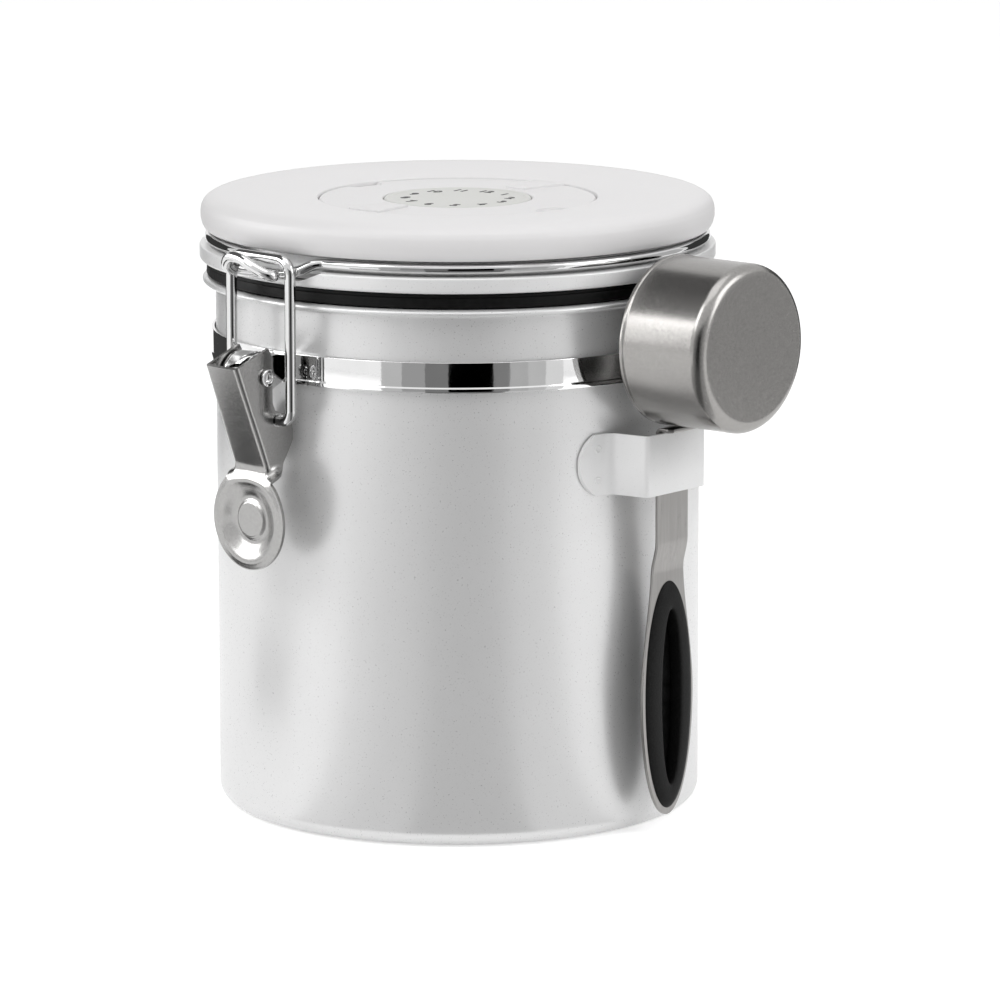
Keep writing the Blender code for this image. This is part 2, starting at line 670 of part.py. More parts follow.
def build_pin():
    """A headed pin through the ears and the lever's cheeks, hollow at both ends."""
    reach = lever_half_width + gap
    end = reach + pin_head_height
    bore = pin_radius / 2
    profile = [(0, -end + pin_head_radius / 2), (bore, -end + pin_head_radius / 2), (bore, -end),
               (pin_head_radius, -end), (pin_head_radius, -reach), (pin_radius, -reach),
               (pin_radius, reach), (pin_head_radius, reach), (pin_head_radius, end), (bore, end),
               (bore, end - pin_head_radius / 2), (0, end - pin_head_radius / 2)]
    pin = add_turned("latch_pin", profile, small_steps // 2, chrome, closed=False)
    pin.location = (0, -pin_out, pin_height)
    pin.rotation_euler.y = math.pi / 2


def build_lever():
    """The pressed lever: a raked face, two cheeks with a hook lobe, and a dished thumb pad."""
    pivot = add_pivot("lever_axis", (0, -pin_out, pin_height))
    face_top = (lever_face_out, lever_face_up)
    face_low = (lever_face_out - lever_rake, -lever_drop)
    back_in = -hook_in * lever_back_share
    lobe = arc(-hook_in, -hook_down, hook_lobe_radius, 145, 215, arc_steps)
    cheek = [face_top, (-lever_sheet / 2, ear_radius + lever_sheet), (back_in, ear_radius)]
    cheek += [(back_in, -hook_down + hook_lobe_radius)] + lobe
    cheek += [(face_low[0] - lever_sheet, -lever_drop), face_low]

    pad_line = pad_out - pin_out
    neck_low = pad_height + pad_radius * neck_share - pin_height
    face = [face_top, (face_top[0] - lever_sheet, face_top[1]), (face_low[0] - lever_sheet, face_low[1]),
            (pad_line - lever_sheet, neck_low), (pad_line, neck_low), face_low]
    lever = add_prism("latch_lever", face, -lever_half_width, lever_half_width, steel, pivot, along="X")
    for side in (-1, 1):
        plate = add_prism(f"cheek_{side}", cheek, side * lever_half_width,
                          side * (lever_half_width - lever_sheet), steel, pivot, along="X")
        combine(lever, plate, "UNION")

    # Each point of the dish is a share of the pad's radius and of its depth.
    dish_shares = [(0, 1), (0.34, 1), (0.50, 0.9), (0.75, 0.45), (1, 0)]
    hollow = [(radius * pad_radius, -depth * pad_dish) for radius, depth in dish_shares]
    dish = hollow + [(radius, depth - lever_sheet) for radius, depth in reversed(hollow)]
    pad = add_turned("thumb_pad", dish, small_steps, steel, pivot, closed=False)
    pad.location = (0, -pad_line, pad_height - pin_height)
    pad.rotation_euler.x = math.pi / 2
    combine(lever, pad, "UNION")

    reach = lever_half_width + overrun
    holes = [("pin_hole", 0, 0, pin_radius), ("hook_hole", -hook_in, -hook_down, wire_radius)]
    for name, out, up, radius in holes:
        outline = circle(out, up, radius + gap, small_steps // 2)
        combine(lever, add_prism(name, outline, -reach, reach, steel, pivot, along="X"), "DIFFERENCE")


def build_bail():
    """The wire bail: two legs hooked into the lever's cheeks and a straight crossbar."""
    pivot = add_pivot("bail_axis", (0, -bail_out, hook_height))
    top = bail_top - hook_height
    half = [(hook_end, 0)]
    half += arc(bail_half_width - hook_corner, hook_corner, hook_corner, -90, 0, arc_steps)
    half += arc(bail_half_width - bail_corner, top - bail_corner, bail_corner, 0, 90, arc_steps + 1)
    left = [(-x, z) for x, z in half]
    add_wire("latch_bail", [(x, 0, z) for x, z in left + half[::-1]], wire_diameter, chrome, pivot)


def build_holder():
    """A painted sheet strap, bent like a hat, with two rounded ears that lie on the canister."""
    station = add_pivot("scoop_station", bearing=scoop_bearing)
    half = holder_sheet / 2
    ear_out = body_radius + gap + half
    foot = holder_face_half_width + holder_slope_width
    bend = math.asin(foot / ear_out)
    tip = bend + holder_ear_length / ear_out
    line = []
    for i in range(arc_steps + 1):
        angle = tip + (bend - tip) * i / arc_steps
        line.append((ear_out * math.sin(angle), ear_out * math.cos(angle)))
    line += [(holder_face_half_width, holder_face_out - half)]
    line += [(-x, out) for x, out in reversed(line)]
    outline = [(x, -out) for x, out in strip_outline(line, holder_sheet)]
    holder = add_prism("scoop_holder", outline, holder_bottom, holder_top, paint, station)
    # A rounded keeper, seen from outside, trims the ears' ends.
    middle = (holder_bottom + holder_top) / 2
    end = ear_out * math.sin(tip) - holder_end_radius
    reach = math.degrees(math.asin(holder_height / 2 / holder_end_radius))
    keep = arc(end, middle, holder_end_radius, reach, -reach, 2 * arc_steps)
    keep += arc(-end, middle, holder_end_radius, 180 + reach, 180 - reach, 2 * arc_steps)
    keeper = add_prism("holder_keeper", keep, 0, holder_face_out + overrun, paint, station, along="Y")
    combine(holder, keeper, "INTERSECT")
    return station


def egg(count, half_width, bottom, wide, top):
    """An egg-shaped loop of (x, z) points, widest at one height."""
    points = []
    for i in range(count):
        angle = math.tau * i / count
        rise = (top - wide) if math.sin(angle) > 0 else (wide - bottom)
        points.append((half_width * math.cos(angle), wide + rise * math.sin(angle)))
    return points


def build_scoop(station):
    """The scoop hangs by its handle: a drawn cup, a flat handle and a rubber grip ring."""
    pivot = add_pivot("scoop_slide", (0, -handle_out, holder_top))
    pivot.parent = station
    outer = cup_radius
    profile = [(outer - cup_wall, 0), (outer + cup_lip, 0), (outer + cup_lip, cup_lip_width - cup_lip),
               (outer, cup_lip_width)]
    profile += arc(outer - cup_corner, cup_depth - cup_corner, cup_corner, 0, 90, arc_steps + 1)
    profile = [(0, cup_depth - cup_wall)] + [(0, cup_depth)] + profile[::-1]
    profile += arc(outer - cup_corner, cup_depth - cup_corner, cup_corner - cup_wall, 0, 90, arc_steps)
    profile = profile[1:] + [profile[0]]
    cup = add_turned("scoop_cup", profile, round_steps * 2 // 3, steel, pivot, closed=False)
    cup.location = (0, handle_out - cup_out, cup_height - holder_top)
    cup.rotation_euler.x = math.pi / 2

    # The handle is a strip with a small step below the holder and a shelf under the cup, trimmed to an
    # outline with a straight neck, a flare and a rounded tip.
    half_sheet = handle_sheet / 2
    neck_middle = neck_step + half_sheet
    shelf = gap + half_sheet
    line = [(half_sheet, handle_tip - overrun - holder_top), (half_sheet, neck_step_bottom - holder_top),
            (neck_middle, neck_step_top - holder_top)]
    line += arc(neck_middle + handle_sheet, shelf - handle_sheet, handle_sheet, 180, 90, arc_steps)
    line += [(neck_middle + shelf_length, shelf)]
    width = handle_bulge_half_width + overrun
    strip = strip_outline(line, handle_sheet)
    handle = add_prism("scoop_handle", strip, -width, width, steel, pivot, along="X")
    flare = []
    for i in range(1, arc_steps + 1):
        share = i / arc_steps
        blend = share * share * (3 - 2 * share)
        flare.append((handle_half_width + (handle_bulge_half_width - handle_half_width) * blend,
                      handle_flare_top + (handle_wide_height - handle_flare_top) * share))
    tip_height = handle_wide_height - handle_tip
    tip = [(handle_bulge_half_width * x, handle_wide_height + tip_height * z)
           for x, z in arc(0, 0, 1, 0, -90, 2 * arc_steps)[1:]]
    right = [(handle_half_width, cup_height), (handle_half_width, handle_flare_top)] + flare + tip
    outline = right + [(-x, z) for x, z in right[-2::-1]]
    outline = [(x, z - holder_top) for x, z in outline]
    keeper = add_prism("handle_outline", outline, -overrun, neck_middle + shelf_length + overrun,
                       steel, pivot, along="Y")
    combine(handle, keeper, "INTERSECT")

    count = round_steps * 2 // 3
    wide = handle_wide_height
    inner = egg(count, grip_slot_half_width, grip_slot_bottom, wide, grip_slot_top)
    outer = egg(count, grip_half_width, grip_bottom, wide, grip_top)

    def loop(share, depth):
        return [(a[0] + (b[0] - a[0]) * share, -depth, a[1] + (b[1] - a[1]) * share - holder_top)
                for a, b in zip(inner, outer)]

    window = bmesh.new()
    rings = []
    hold = grip_wall_share
    for depth in (-overrun, handle_sheet + overrun):
        rings.append([window.verts.new(p) for p in loop(hold, depth)])
        window.faces.new(rings[-1])
    for i in range(count):
        j = (i + 1) % count
        window.faces.new((rings[0][i], rings[0][j], rings[1][j], rings[1][i]))
    cutter = add_object("handle_window", finish_mesh(window, "handle_window"), steel, pivot)
    combine(handle, cutter, "DIFFERENCE")

    # The grip's cross-section, as a share of its band and a height over the steel's middle.
    band = grip_half_width - grip_slot_half_width
    seat = hold - gap / band
    half = grip_thickness / 2
    face_half = handle_sheet / 2 + gap
    crown_shares = [(0.0, 0.80), (0.08, 1.0), (0.35, 1.0), (0.62, 0.93), (0.88, 0.60), (1.0, 0.0)]
    upper = [(share, max(high * half, face_half)) for share, high in crown_shares]
    section = upper + [(seat, face_half), (seat, -face_half)]
    section += [(share, -high) for share, high in upper[::-1]]
    grip = bmesh.new()
    rings = [[grip.verts.new(p) for p in loop(share, handle_sheet / 2 + high)] for share, high in section]
    for a, b in zip(rings, rings[1:] + rings[:1]):
        for i in range(count):
            j = (i + 1) % count
            grip.faces.new((a[i], a[j], b[j], b[i]))
    add_object("handle_grip", finish_mesh(grip, "handle_grip"), rubber, pivot)


def build():
    build_body()
    build_band()
    lid = add_pivot("lid_axis")
    build_gasket(lid)
    build_pan(lid)
    build_cover(lid)
    build_screws(lid)
    build_dial(lid)
    build_valve(lid)
    build_lid_wire(lid)
    build_hinge_bracket()
    build_latch_bracket()
    build_pin()
    build_lever()
    build_bail()
    build_scoop(build_holder())


build()
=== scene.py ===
# Dresses the coffee canister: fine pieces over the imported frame, their finishes, studio and camera.
import math

import bmesh
import bpy
from mathutils import Matrix, Vector


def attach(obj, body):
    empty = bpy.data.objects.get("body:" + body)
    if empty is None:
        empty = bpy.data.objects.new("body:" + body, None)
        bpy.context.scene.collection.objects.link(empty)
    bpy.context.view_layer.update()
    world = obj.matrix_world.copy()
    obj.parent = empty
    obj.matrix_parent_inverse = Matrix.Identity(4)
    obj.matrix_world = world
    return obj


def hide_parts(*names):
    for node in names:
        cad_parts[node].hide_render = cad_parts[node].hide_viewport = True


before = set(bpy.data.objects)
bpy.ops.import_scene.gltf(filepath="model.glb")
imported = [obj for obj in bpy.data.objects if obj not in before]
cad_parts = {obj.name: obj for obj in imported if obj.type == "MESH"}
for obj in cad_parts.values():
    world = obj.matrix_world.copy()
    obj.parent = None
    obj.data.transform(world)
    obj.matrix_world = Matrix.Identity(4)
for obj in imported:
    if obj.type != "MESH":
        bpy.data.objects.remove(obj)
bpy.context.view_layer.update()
mm = 0.001  # pieces are modelled in millimetres and scaled into the frame's metres
print("frame loaded:", len(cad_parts), "nodes")


# Shader helpers
class Socket:
    def __init__(self, finish, output):
        self.finish = finish
        self.output = output

    def __add__(self, other):
        return self.finish.maths("ADD", self, other)

    def __radd__(self, other):
        return self.finish.maths("ADD", other, self)

    def __sub__(self, other):
        return self.finish.maths("SUBTRACT", self, other)

    def __rsub__(self, other):
        return self.finish.maths("SUBTRACT", other, self)

    def __mul__(self, other):
        return self.finish.maths("MULTIPLY", self, other)

    def __rmul__(self, other):
        return self.finish.maths("MULTIPLY", other, self)


class Finish:
    def __init__(self, name, **constants):
        self.material = bpy.data.materials.new(name)
        self.material.use_nodes = True
        self.tree = self.material.node_tree
        self.shader = self.tree.nodes["Principled BSDF"]
        for socket, value in constants.items():
            self.shader.inputs[socket.replace("_", " ")].default_value = value
        self.position = self.node("ShaderNodeTexCoord", output="Object")

    def node(self, kind, settings=None, output=0, **inputs):
        made = self.tree.nodes.new(kind)
        for key, value in (settings or {}).items():
            setattr(made, key, value)
        for key, value in inputs.items():  # i0, i1 and so on are places, other keys are names
            place = int(key[1:]) if key[1:].isdigit() else key.replace("_", " ")
            self.feed(made.inputs[place], value)
        return Socket(self, made.outputs[output])

    def feed(self, target, value):
        if isinstance(value, Socket):
            self.tree.links.new(value.output, target)
        else:
            target.default_value = value

    def maths(self, operation, first, second=0.0):
        return self.node("ShaderNodeMath", {"operation": operation}, i0=first, i1=second)

    def noise(self, scale, detail=3.0, stretch=(1, 1, 1), roughness=0.5):
        where = self.node("ShaderNodeMapping", {"vector_type": "POINT"}, Vector=self.position, Scale=stretch)
        return self.node("ShaderNodeTexNoise", Vector=where, Scale=scale, Detail=detail, Roughness=roughness)

    def span(self, value, low, high, fromLow=0.3, fromHigh=0.7):
        return self.node("ShaderNodeMapRange", i0=value, i1=fromLow, i2=fromHigh, i3=low, i4=high)

    def blendColours(self, share, first, second):
        return self.node("ShaderNodeMix", {"data_type": "RGBA"}, output=2, i0=share, i6=first, i7=second)

    def mottle(self, pattern, first, second, low=0.3, high=0.7):
        return self.blendColours(self.span(pattern, 0, 1, low, high), first, second)

    def paint(self, **links):
        for socket, value in links.items():
            self.feed(self.shader.inputs[socket.replace("_", " ")], value)

    def bump(self, height, strength, distance=0.0002, under=None):
        made = self.node("ShaderNodeBump", Strength=strength, Distance=distance, Height=height)
        if under is not None:
            self.feed(made.output.node.inputs["Normal"], under)
        return made


def grey(level, tint=(1.0, 1.0, 1.0)):
    return (level * tint[0], level * tint[1], level * tint[2], 1.0)


# Mesh helpers
def arcPoints(centreX, centreY, radius, start, end, steps):
    angles = [math.radians(start + (end - start) * i / steps) for i in range(steps + 1)]
    return [(centreX + radius * math.cos(a), centreY + radius * math.sin(a)) for a in angles]


straight = math.radians(14)  # corners flatter than this keep their point


def softened(points, radius, steps=3, closed=True):
    made = []
    count = len(points)
    for i, point in enumerate(points):
        before, corner, after = Vector(points[i - 1]), Vector(point), Vector(points[(i + 1) % count])
        back, ahead = before - corner, after - corner
        if ((not closed and i in (0, count - 1)) or min(back.length, ahead.length) < 1e-6
                or abs(math.pi - back.angle(ahead)) < straight):
            made.append(tuple(point))
            continue
        cut = min(radius, back.length * 0.45, ahead.length * 0.45)
        start, end = corner + back.normalized() * cut, corner + ahead.normalized() * cut
        for k in range(steps + 1):
            t = k / steps
            made.append(tuple(start * (1 - t) ** 2 + corner * 2 * t * (1 - t) + end * t ** 2))
    return made


def rectangle(left, right, low, high):
    return [(left, low), (right, low), (right, high), (left, high)]


def turned(profile, steps=160, soft=0.25, closed=True):
    bm = bmesh.new()
    rim = [bm.verts.new((r, 0, z)) for r, z in softened(profile, soft, closed=closed)]
    edges = [bm.edges.new(pair) for pair in zip(rim, rim[1:])]
    if closed:
        edges.append(bm.edges.new((rim[-1], rim[0])))
    bmesh.ops.spin(bm, geom=rim + edges, cent=(0, 0, 0), axis=(0, 0, 1), angle=math.tau,
                   steps=steps, use_merge=True)
    return bm


def plate(outline, thickness, edge=0.2):
    bm = bmesh.new()
    face = bm.faces.new([bm.verts.new((x, y, 0)) for x, y in outline])
    grown = bmesh.ops.extrude_face_region(bm, geom=[face])
    bmesh.ops.translate(bm, verts=[g for g in grown["geom"] if isinstance(g, bmesh.types.BMVert)],
                        vec=(0, 0, thickness))
    bmesh.ops.recalc_face_normals(bm, faces=bm.faces)
    if edge:
        rim = [e for e in bm.edges if len(e.link_faces) == 2 and max(len(f.verts) for f in e.link_faces) > 4]
        bmesh.ops.bevel(bm, geom=rim, offset=edge, offset_type="OFFSET", segments=2, profile=0.5,
                        affect="EDGES", material=-1, clamp_overlap=True)
    return bm


def catmull(points, steps):
    held = [Vector(p) for p in points]
    held = [held[0] * 2 - held[1]] + held + [held[-1] * 2 - held[-2]]
    path = []
    for before, a, b, after in zip(held, held[1:], held[2:], held[3:]):
        for i in range(steps):
            t = i / steps
            path.append((2 * a + (b - before) * t + (2 * before - 5 * a + 4 * b - after) * t ** 2
                         + (3 * a - before - 3 * b + after) * t ** 3) / 2)
    return path + [held[-2]]


def strip(line, thickness):
    points = [Vector(p) for p in line]
    left, right = [], []
    for i, point in enumerate(points):
        before, after = points[max(i - 1, 0)], points[min(i + 1, len(points) - 1)]
        normal = (after - before).normalized().orthogonal() * thickness / 2
        left.append(point + normal)
        right.append(point - normal)
    return [tuple(p) for p in left + right[::-1]]


def rotated(angle, axis):
    return Matrix.Rotation(math.radians(angle), 4, axis)


def facing(bearing):
    return rotated(bearing, "Z")  # local -Y turns outwards to that bearing


def moved(x, y, z):
    return Matrix.Translation((x, y, z))


upright = rotated(90, "X")  # stands a flat outline up
crosswise = rotated(90, "Y")  # lays a rod along X
sideways = Matrix(((0, 0, 1, 0), (-1, 0, 0, 0), (0, 1, 0, 0), (0, 0, 0, 1)))  # (outward, z) run along X


def meshFrom(bm, name):
    mesh = bpy.data.meshes.new(name)
    bm.to_mesh(mesh)
    bm.free()
    return mesh


def linked(name, data):
    made = bpy.data.objects.new(name, data)
    bpy.context.scene.collection.objects.link(made)
    return made


def settled(piece):
    bpy.context.view_layer.update()
    return bpy.data.meshes.new_from_object(piece.evaluated_get(bpy.context.evaluated_depsgraph_get()))


def add(name, bm, look, body, stands=(), place=Matrix(), sharp=38):
    bmesh.ops.remove_doubles(bm, verts=bm.verts, dist=0.002)
    bmesh.ops.recalc_face_normals(bm, faces=bm.faces)
    bm.transform(Matrix.Scale(mm, 4) @ place)
    return dress(name, meshFrom(bm, name), look, body, stands, sharp)


def dress(name, mesh, look, body, stands=(), sharp=38):
    piece = linked(name, mesh)
    mesh.materials.clear()
    mesh.materials.append(look)
    mesh.shade_smooth()
    mesh.set_sharp_from_angle(angle=math.radians(sharp))
    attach(piece, body)
    if stands:
        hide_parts(*stands)
    return piece


def cutAway(piece, tools, operation="DIFFERENCE", sharp=38):
    for tool in tools:
        change = piece.modifiers.new("cut", "BOOLEAN")
        change.object = tool
        change.operation = operation
        change.solver = "EXACT"
    mesh = settled(piece)
    piece.modifiers.clear()
    piece.data = mesh
    mesh.shade_smooth()
    mesh.set_sharp_from_angle(angle=math.radians(sharp))
    for tool in tools:
        bpy.data.objects.remove(tool)


def toolFrom(bm, place=Matrix()):
    bmesh.ops.recalc_face_normals(bm, faces=bm.faces)
    bm.transform(Matrix.Scale(mm, 4) @ place)
    return linked("tool", meshFrom(bm, "tool"))


def rodTool(radius, depth, place, segments, topRadius=None):
    bm = bmesh.new()
    bmesh.ops.create_cone(bm, cap_ends=True, segments=segments, radius1=radius, radius2=topRadius or radius,
                          depth=depth, matrix=place)
    return toolFrom(bm)


def rodTools(radius, depth, spots, segments):
    return [rodTool(radius, depth, Matrix.Translation(spot), segments) for spot in spots]


def ringSpots(count, radius, height, offset=0.0):
    angles = [math.tau * (i + offset) / count for i in range(count)]
    return [Vector((radius * math.cos(a), radius * math.sin(a), height)) for a in angles]


def wire(name, points, radius, look, body, stands=()):
    curve = bpy.data.curves.new(name, "CURVE")
    curve.dimensions = "3D"
    curve.bevel_depth = radius * mm
    curve.bevel_resolution = 8
    curve.use_fill_caps = True
    spline = curve.splines.new("POLY")
    spline.points.add(len(points) - 1)
    for knot, point in zip(spline.points, points):
        knot.co = (*(Vector(point) * mm), 1)
    run = linked(name + "Run", curve)
    mesh = settled(run)
    bpy.data.objects.remove(run)
    bm = bmesh.new()
    bm.from_mesh(mesh)
    rim = [e for e in bm.edges if any(len(f.verts) > 4 for f in e.link_faces)]
    bmesh.ops.bevel(bm, geom=rim, offset=radius * 0.3 * mm, offset_type="OFFSET", segments=3, profile=0.5,
                    affect="EDGES", material=-1, clamp_overlap=True)
    bm.to_mesh(mesh)
    bm.free()
    return dress(name, mesh, look, body, stands, sharp=60)


# Finishes
def silverPaint(name, level, metallic=0.25):
    look = Finish(name, Metallic=metallic, IOR=1.5)
    grain = look.noise(2600, 2)
    cloud = look.noise(24, 3)
    look.paint(Base_Color=look.mottle(cloud, grey(level * 0.985), grey(level)),
               Roughness=look.span(grain, 0.27, 0.36),
               Normal=look.bump(grain, 0.06, 0.00004, look.bump(look.noise(240, 2), 0.04, 0.0002)))
    return look.material


def chromePlate(name, level):
    look = Finish(name, Metallic=1.0)
    wear = look.noise(90, 4)
    look.paint(Base_Color=look.mottle(wear, grey(level), grey(level + 0.06), 0.35),
               Roughness=look.span(wear, 0.035, 0.075, 0.35, 0.7),
               Normal=look.bump(look.noise(420, 2), 0.03, 0.0002))
    return look.material


def brushedSteel(name, level, stretch, roughness=(0.26, 0.36), tint=(1.0, 0.975, 0.95)):
    look = Finish(name, Metallic=1.0)
    lines = look.noise(1500, 4, stretch, 0.65)
    cloud = look.noise(70, 3)
    look.paint(Base_Color=look.mottle(lines, grey(level * 0.86, tint), grey(level * 1.06, tint), 0.25, 0.75),
               Roughness=look.span(lines, roughness[0], roughness[1], 0.25, 0.75) + (cloud - 0.5) * 0.05,
               Normal=look.bump(lines, 0.22, 0.00004))
    return look.material


def whitePlastic(name, level, tint=(1.0, 0.988, 0.992)):
    look = Finish(name, IOR=1.49)
    grain = look.noise(1900, 3)
    cloud = look.noise(30, 2)
    look.paint(Base_Color=look.mottle(cloud, grey(level * 0.985, tint), grey(level, tint)),
               Roughness=look.span(grain, 0.40, 0.52),
               Normal=look.bump(grain, 0.12, 0.00004))
    return look.material


def blackRubber(name, level, roughness, grainScale, depth):
    look = Finish(name, IOR=1.5, Specular_IOR_Level=0.16)
    grain = look.noise(grainScale, 3)
    look.paint(Base_Color=look.mottle(grain, grey(level), grey(level * 2.2), 0.4, 0.75),
               Roughness=look.span(grain, roughness, roughness + 0.16),
               Normal=look.bump(grain, 0.5, depth))
    return look.material


def printedInk():
    look = Finish("printed_ink", IOR=1.5)
    spots = look.noise(1400, 2)
    look.paint(Base_Color=look.mottle(spots, grey(0.006), grey(0.02)),
               Roughness=look.span(spots, 0.45, 0.6))
    return look.material


def softSilicone():
    look = Finish("clear_silicone", IOR=1.41)
    cloud = look.noise(200, 2)
    look.paint(Base_Color=look.mottle(cloud, grey(0.62), grey(0.72)),
               Roughness=look.span(cloud, 0.35, 0.5),
               Normal=look.bump(look.noise(900, 2), 0.1, 0.0001))
    return look.material


def pressedFelt():
    look = Finish("filter_felt", Roughness=0.95, IOR=1.4)
    fibres = look.noise(1300, 5, stretch=(1, 1, 3))
    look.paint(Base_Color=look.mottle(fibres, grey(0.55, (1, 0.96, 0.88)), grey(0.8, (1, 0.97, 0.9))),
               Normal=look.bump(fibres, 0.8, 0.0002))
    return look.material


bodyPaint = silverPaint("silver_paint", 0.78, metallic=0.36)
holderPaint = silverPaint("holder_paint", 0.88, metallic=0.05)
panMetal = silverPaint("pan_metal", 0.84, metallic=0.15)
chrome = chromePlate("chrome", 0.80)
wireChrome = chromePlate("wire_chrome", 0.58)
leverSteel = brushedSteel("lever_steel", 0.37, (1, 1, 1), roughness=(0.20, 0.25), tint=(1, 0.99, 0.975))
cupSteel = brushedSteel("cup_steel", 0.33, (1, 1, 1), roughness=(0.22, 0.27), tint=(1, 0.975, 0.945))
handleSteel = brushedSteel("handle_steel", 0.33, (1, 1, 0.04))
coverPlastic = whitePlastic("cover_plastic", 0.80)
dialPlastic = whitePlastic("dial_plastic", 0.78)
discPlastic = whitePlastic("disc_plastic", 0.66, (1.0, 1.0, 0.965))
valvePlastic = whitePlastic("valve_plastic", 0.74)
gasketRubber = blackRubber("gasket_rubber", 0.003, 0.42, 700, 0.00006)
gripRubber = blackRubber("grip_rubber", 0.006, 0.48, 2300, 0.00012)
ink = printedInk()
silicone = softSilicone()
felt = pressedFelt()
print("finishes ready")


# Canister body and band
bodySize = {"radius": 60.0, "height": 132.3, "wall": 0.7, "floor": 1.2, "baseCorner": 4.2,
            "beadHalf": (1.6, 0.95), "beadCentre": 61.6, "baseRing": (46.0, 50.0), "ringDepth": 0.6,
            "flareDrop": 2.2, "flareTop": 1.3, "flare": 0.12, "lip": 0.5}
roundSteps = 256  # facets round the large turned pieces


def makeBody():
    s = bodySize
    inner = s["radius"] - s["wall"]
    low, high = s["baseRing"]
    beadWide, beadHigh = s["beadHalf"]
    beadZ = s["height"] - beadHigh
    corner = s["radius"] - s["baseCorner"]
    ring = s["ringDepth"]
    profile = [(0, 0), (low, 0), (low + ring, ring), (high - ring, ring), (high, 0)]
    profile += arcPoints(corner, s["baseCorner"], s["baseCorner"], -90, 0, 10)
    profile += [(s["radius"], beadZ - s["flareDrop"]), (s["radius"] + s["flare"], beadZ - s["flareTop"])]
    profile += [(s["beadCentre"] + beadWide * x, beadZ + beadHigh * z)
                for x, z in arcPoints(0, 0, 1, -125, 110, 20)]
    profile += [(inner + s["lip"], s["height"] - s["lip"]), (inner, beadZ)]
    profile += arcPoints(corner, s["baseCorner"], s["baseCorner"] - s["wall"], 0, -70, 8)
    profile += [(corner, s["floor"]), (0, s["floor"])]
    add("canisterBody", turned(profile, roundSteps, 0.3, closed=False), bodyPaint, "canister",
        ["canister_body"], sharp=50)


bandSize = {"inner": 60.3, "outer": 61.1, "lip": 61.35, "lipSlope": 0.4, "bottom": 112.0, "lipTop": 113.4,
            "top": 119.4}


def makeBand():
    s = bandSize
    profile = [(s["inner"], s["bottom"]), (s["lip"], s["bottom"]), (s["lip"], s["lipTop"] - s["lipSlope"]),
               (s["outer"], s["lipTop"]), (s["outer"], s["top"]), (s["inner"], s["top"])]
    add("clampBand", turned(profile, roundSteps, 0.16), chrome, "canister", ["clamp_band"])


makeBody()
makeBand()
print("body and band ready")


# Lid: gasket, pan, cover
gasketSize = {"inner": 56.5, "outer": 62.2, "bottom": 132.6, "top": 136.0, "grooveFoot": (60.35, 61.3),
              "grooveRoof": (60.65, 61.0), "grooveDepth": 1.15, "corner": 0.3, "lineLow": 1.0,
              "lineMiddle": 0.85, "lineHigh": 0.7, "lineDepth": 0.28, "draft": 0.05}


def makeGasket():
    s = gasketSize
    roof = s["bottom"] + s["grooveDepth"]
    profile = [(s["inner"], s["bottom"]), (s["grooveFoot"][0], s["bottom"]), (s["grooveRoof"][0], roof),
               (s["grooveRoof"][1], roof), (s["grooveFoot"][1], s["bottom"]),
               (s["outer"] - s["corner"], s["bottom"]), (s["outer"], s["bottom"] + s["corner"]),
               (s["outer"] - s["draft"], s["top"] - s["lineLow"]),
               (s["outer"] - s["lineDepth"], s["top"] - s["lineMiddle"]),
               (s["outer"], s["top"] - s["lineHigh"]), (s["outer"], s["top"]), (s["inner"], s["top"])]
    add("lidGasket", turned(profile, roundSteps, 0.22), gasketRubber, "lid", ["lid_gasket"])


panSize = {"hole": 14.2, "radius": 63.9, "sheet": 0.8, "bottom": 136.3, "top": 140.1, "edge": 62.95,
           "hub": 59.65, "hubTop": 143.3, "lowCorner": 0.9, "notchLow": 137.65, "notchRise": 2,
           "notchFoot": 9.7, "notchHead": 21.0, "notchCorner": 1.2, "notchRun": 7, "holeRadius": 1.8,
           "holeDepth": 4, "holeZ": 136.7}
screwCircle = {"count": 4, "radius": 48.0, "offset": 0.5}


def screwSpots(height):
    return ringSpots(height=height, **screwCircle)


def makePan():
    s = panSize
    bead = (s["radius"] - s["edge"]) / 2
    hubIn = s["hub"] - s["sheet"]
    profile = [(s["hole"], s["bottom"]), (s["radius"] - s["sheet"], s["bottom"])]
    corner = s["lowCorner"]
    profile += arcPoints(s["radius"] - corner, s["bottom"] + corner, corner, -80, 0, 5)
    profile += arcPoints(s["radius"] - bead, s["top"] - bead, bead, 0, 90, 8)
    profile += [(s["hub"], s["top"]), (s["hub"], s["hubTop"]), (hubIn, s["hubTop"]),
                (hubIn, s["top"] - s["sheet"]), (s["edge"], s["top"] - s["sheet"]),
                (s["edge"], s["bottom"] + s["sheet"]), (s["hole"], s["bottom"] + s["sheet"])]
    pan = add("lidPan", turned(profile, roundSteps, 0.2), panMetal, "lid", ["lid_pan"])
    low, high = s["notchLow"], s["top"] + s["notchRise"]
    front = [(-s["notchHead"], high), (-s["notchFoot"], low), (s["notchFoot"], low), (s["notchHead"], high)]
    front = plate(softened(front, s["notchCorner"]), s["notchRun"], 0)
    tools = [toolFrom(front, moved(0, -s["hub"] - 0.3, 0) @ upright)]
    tools += rodTools(s["holeRadius"], s["holeDepth"], screwSpots(s["holeZ"]), 24)
    cutAway(pan, tools)


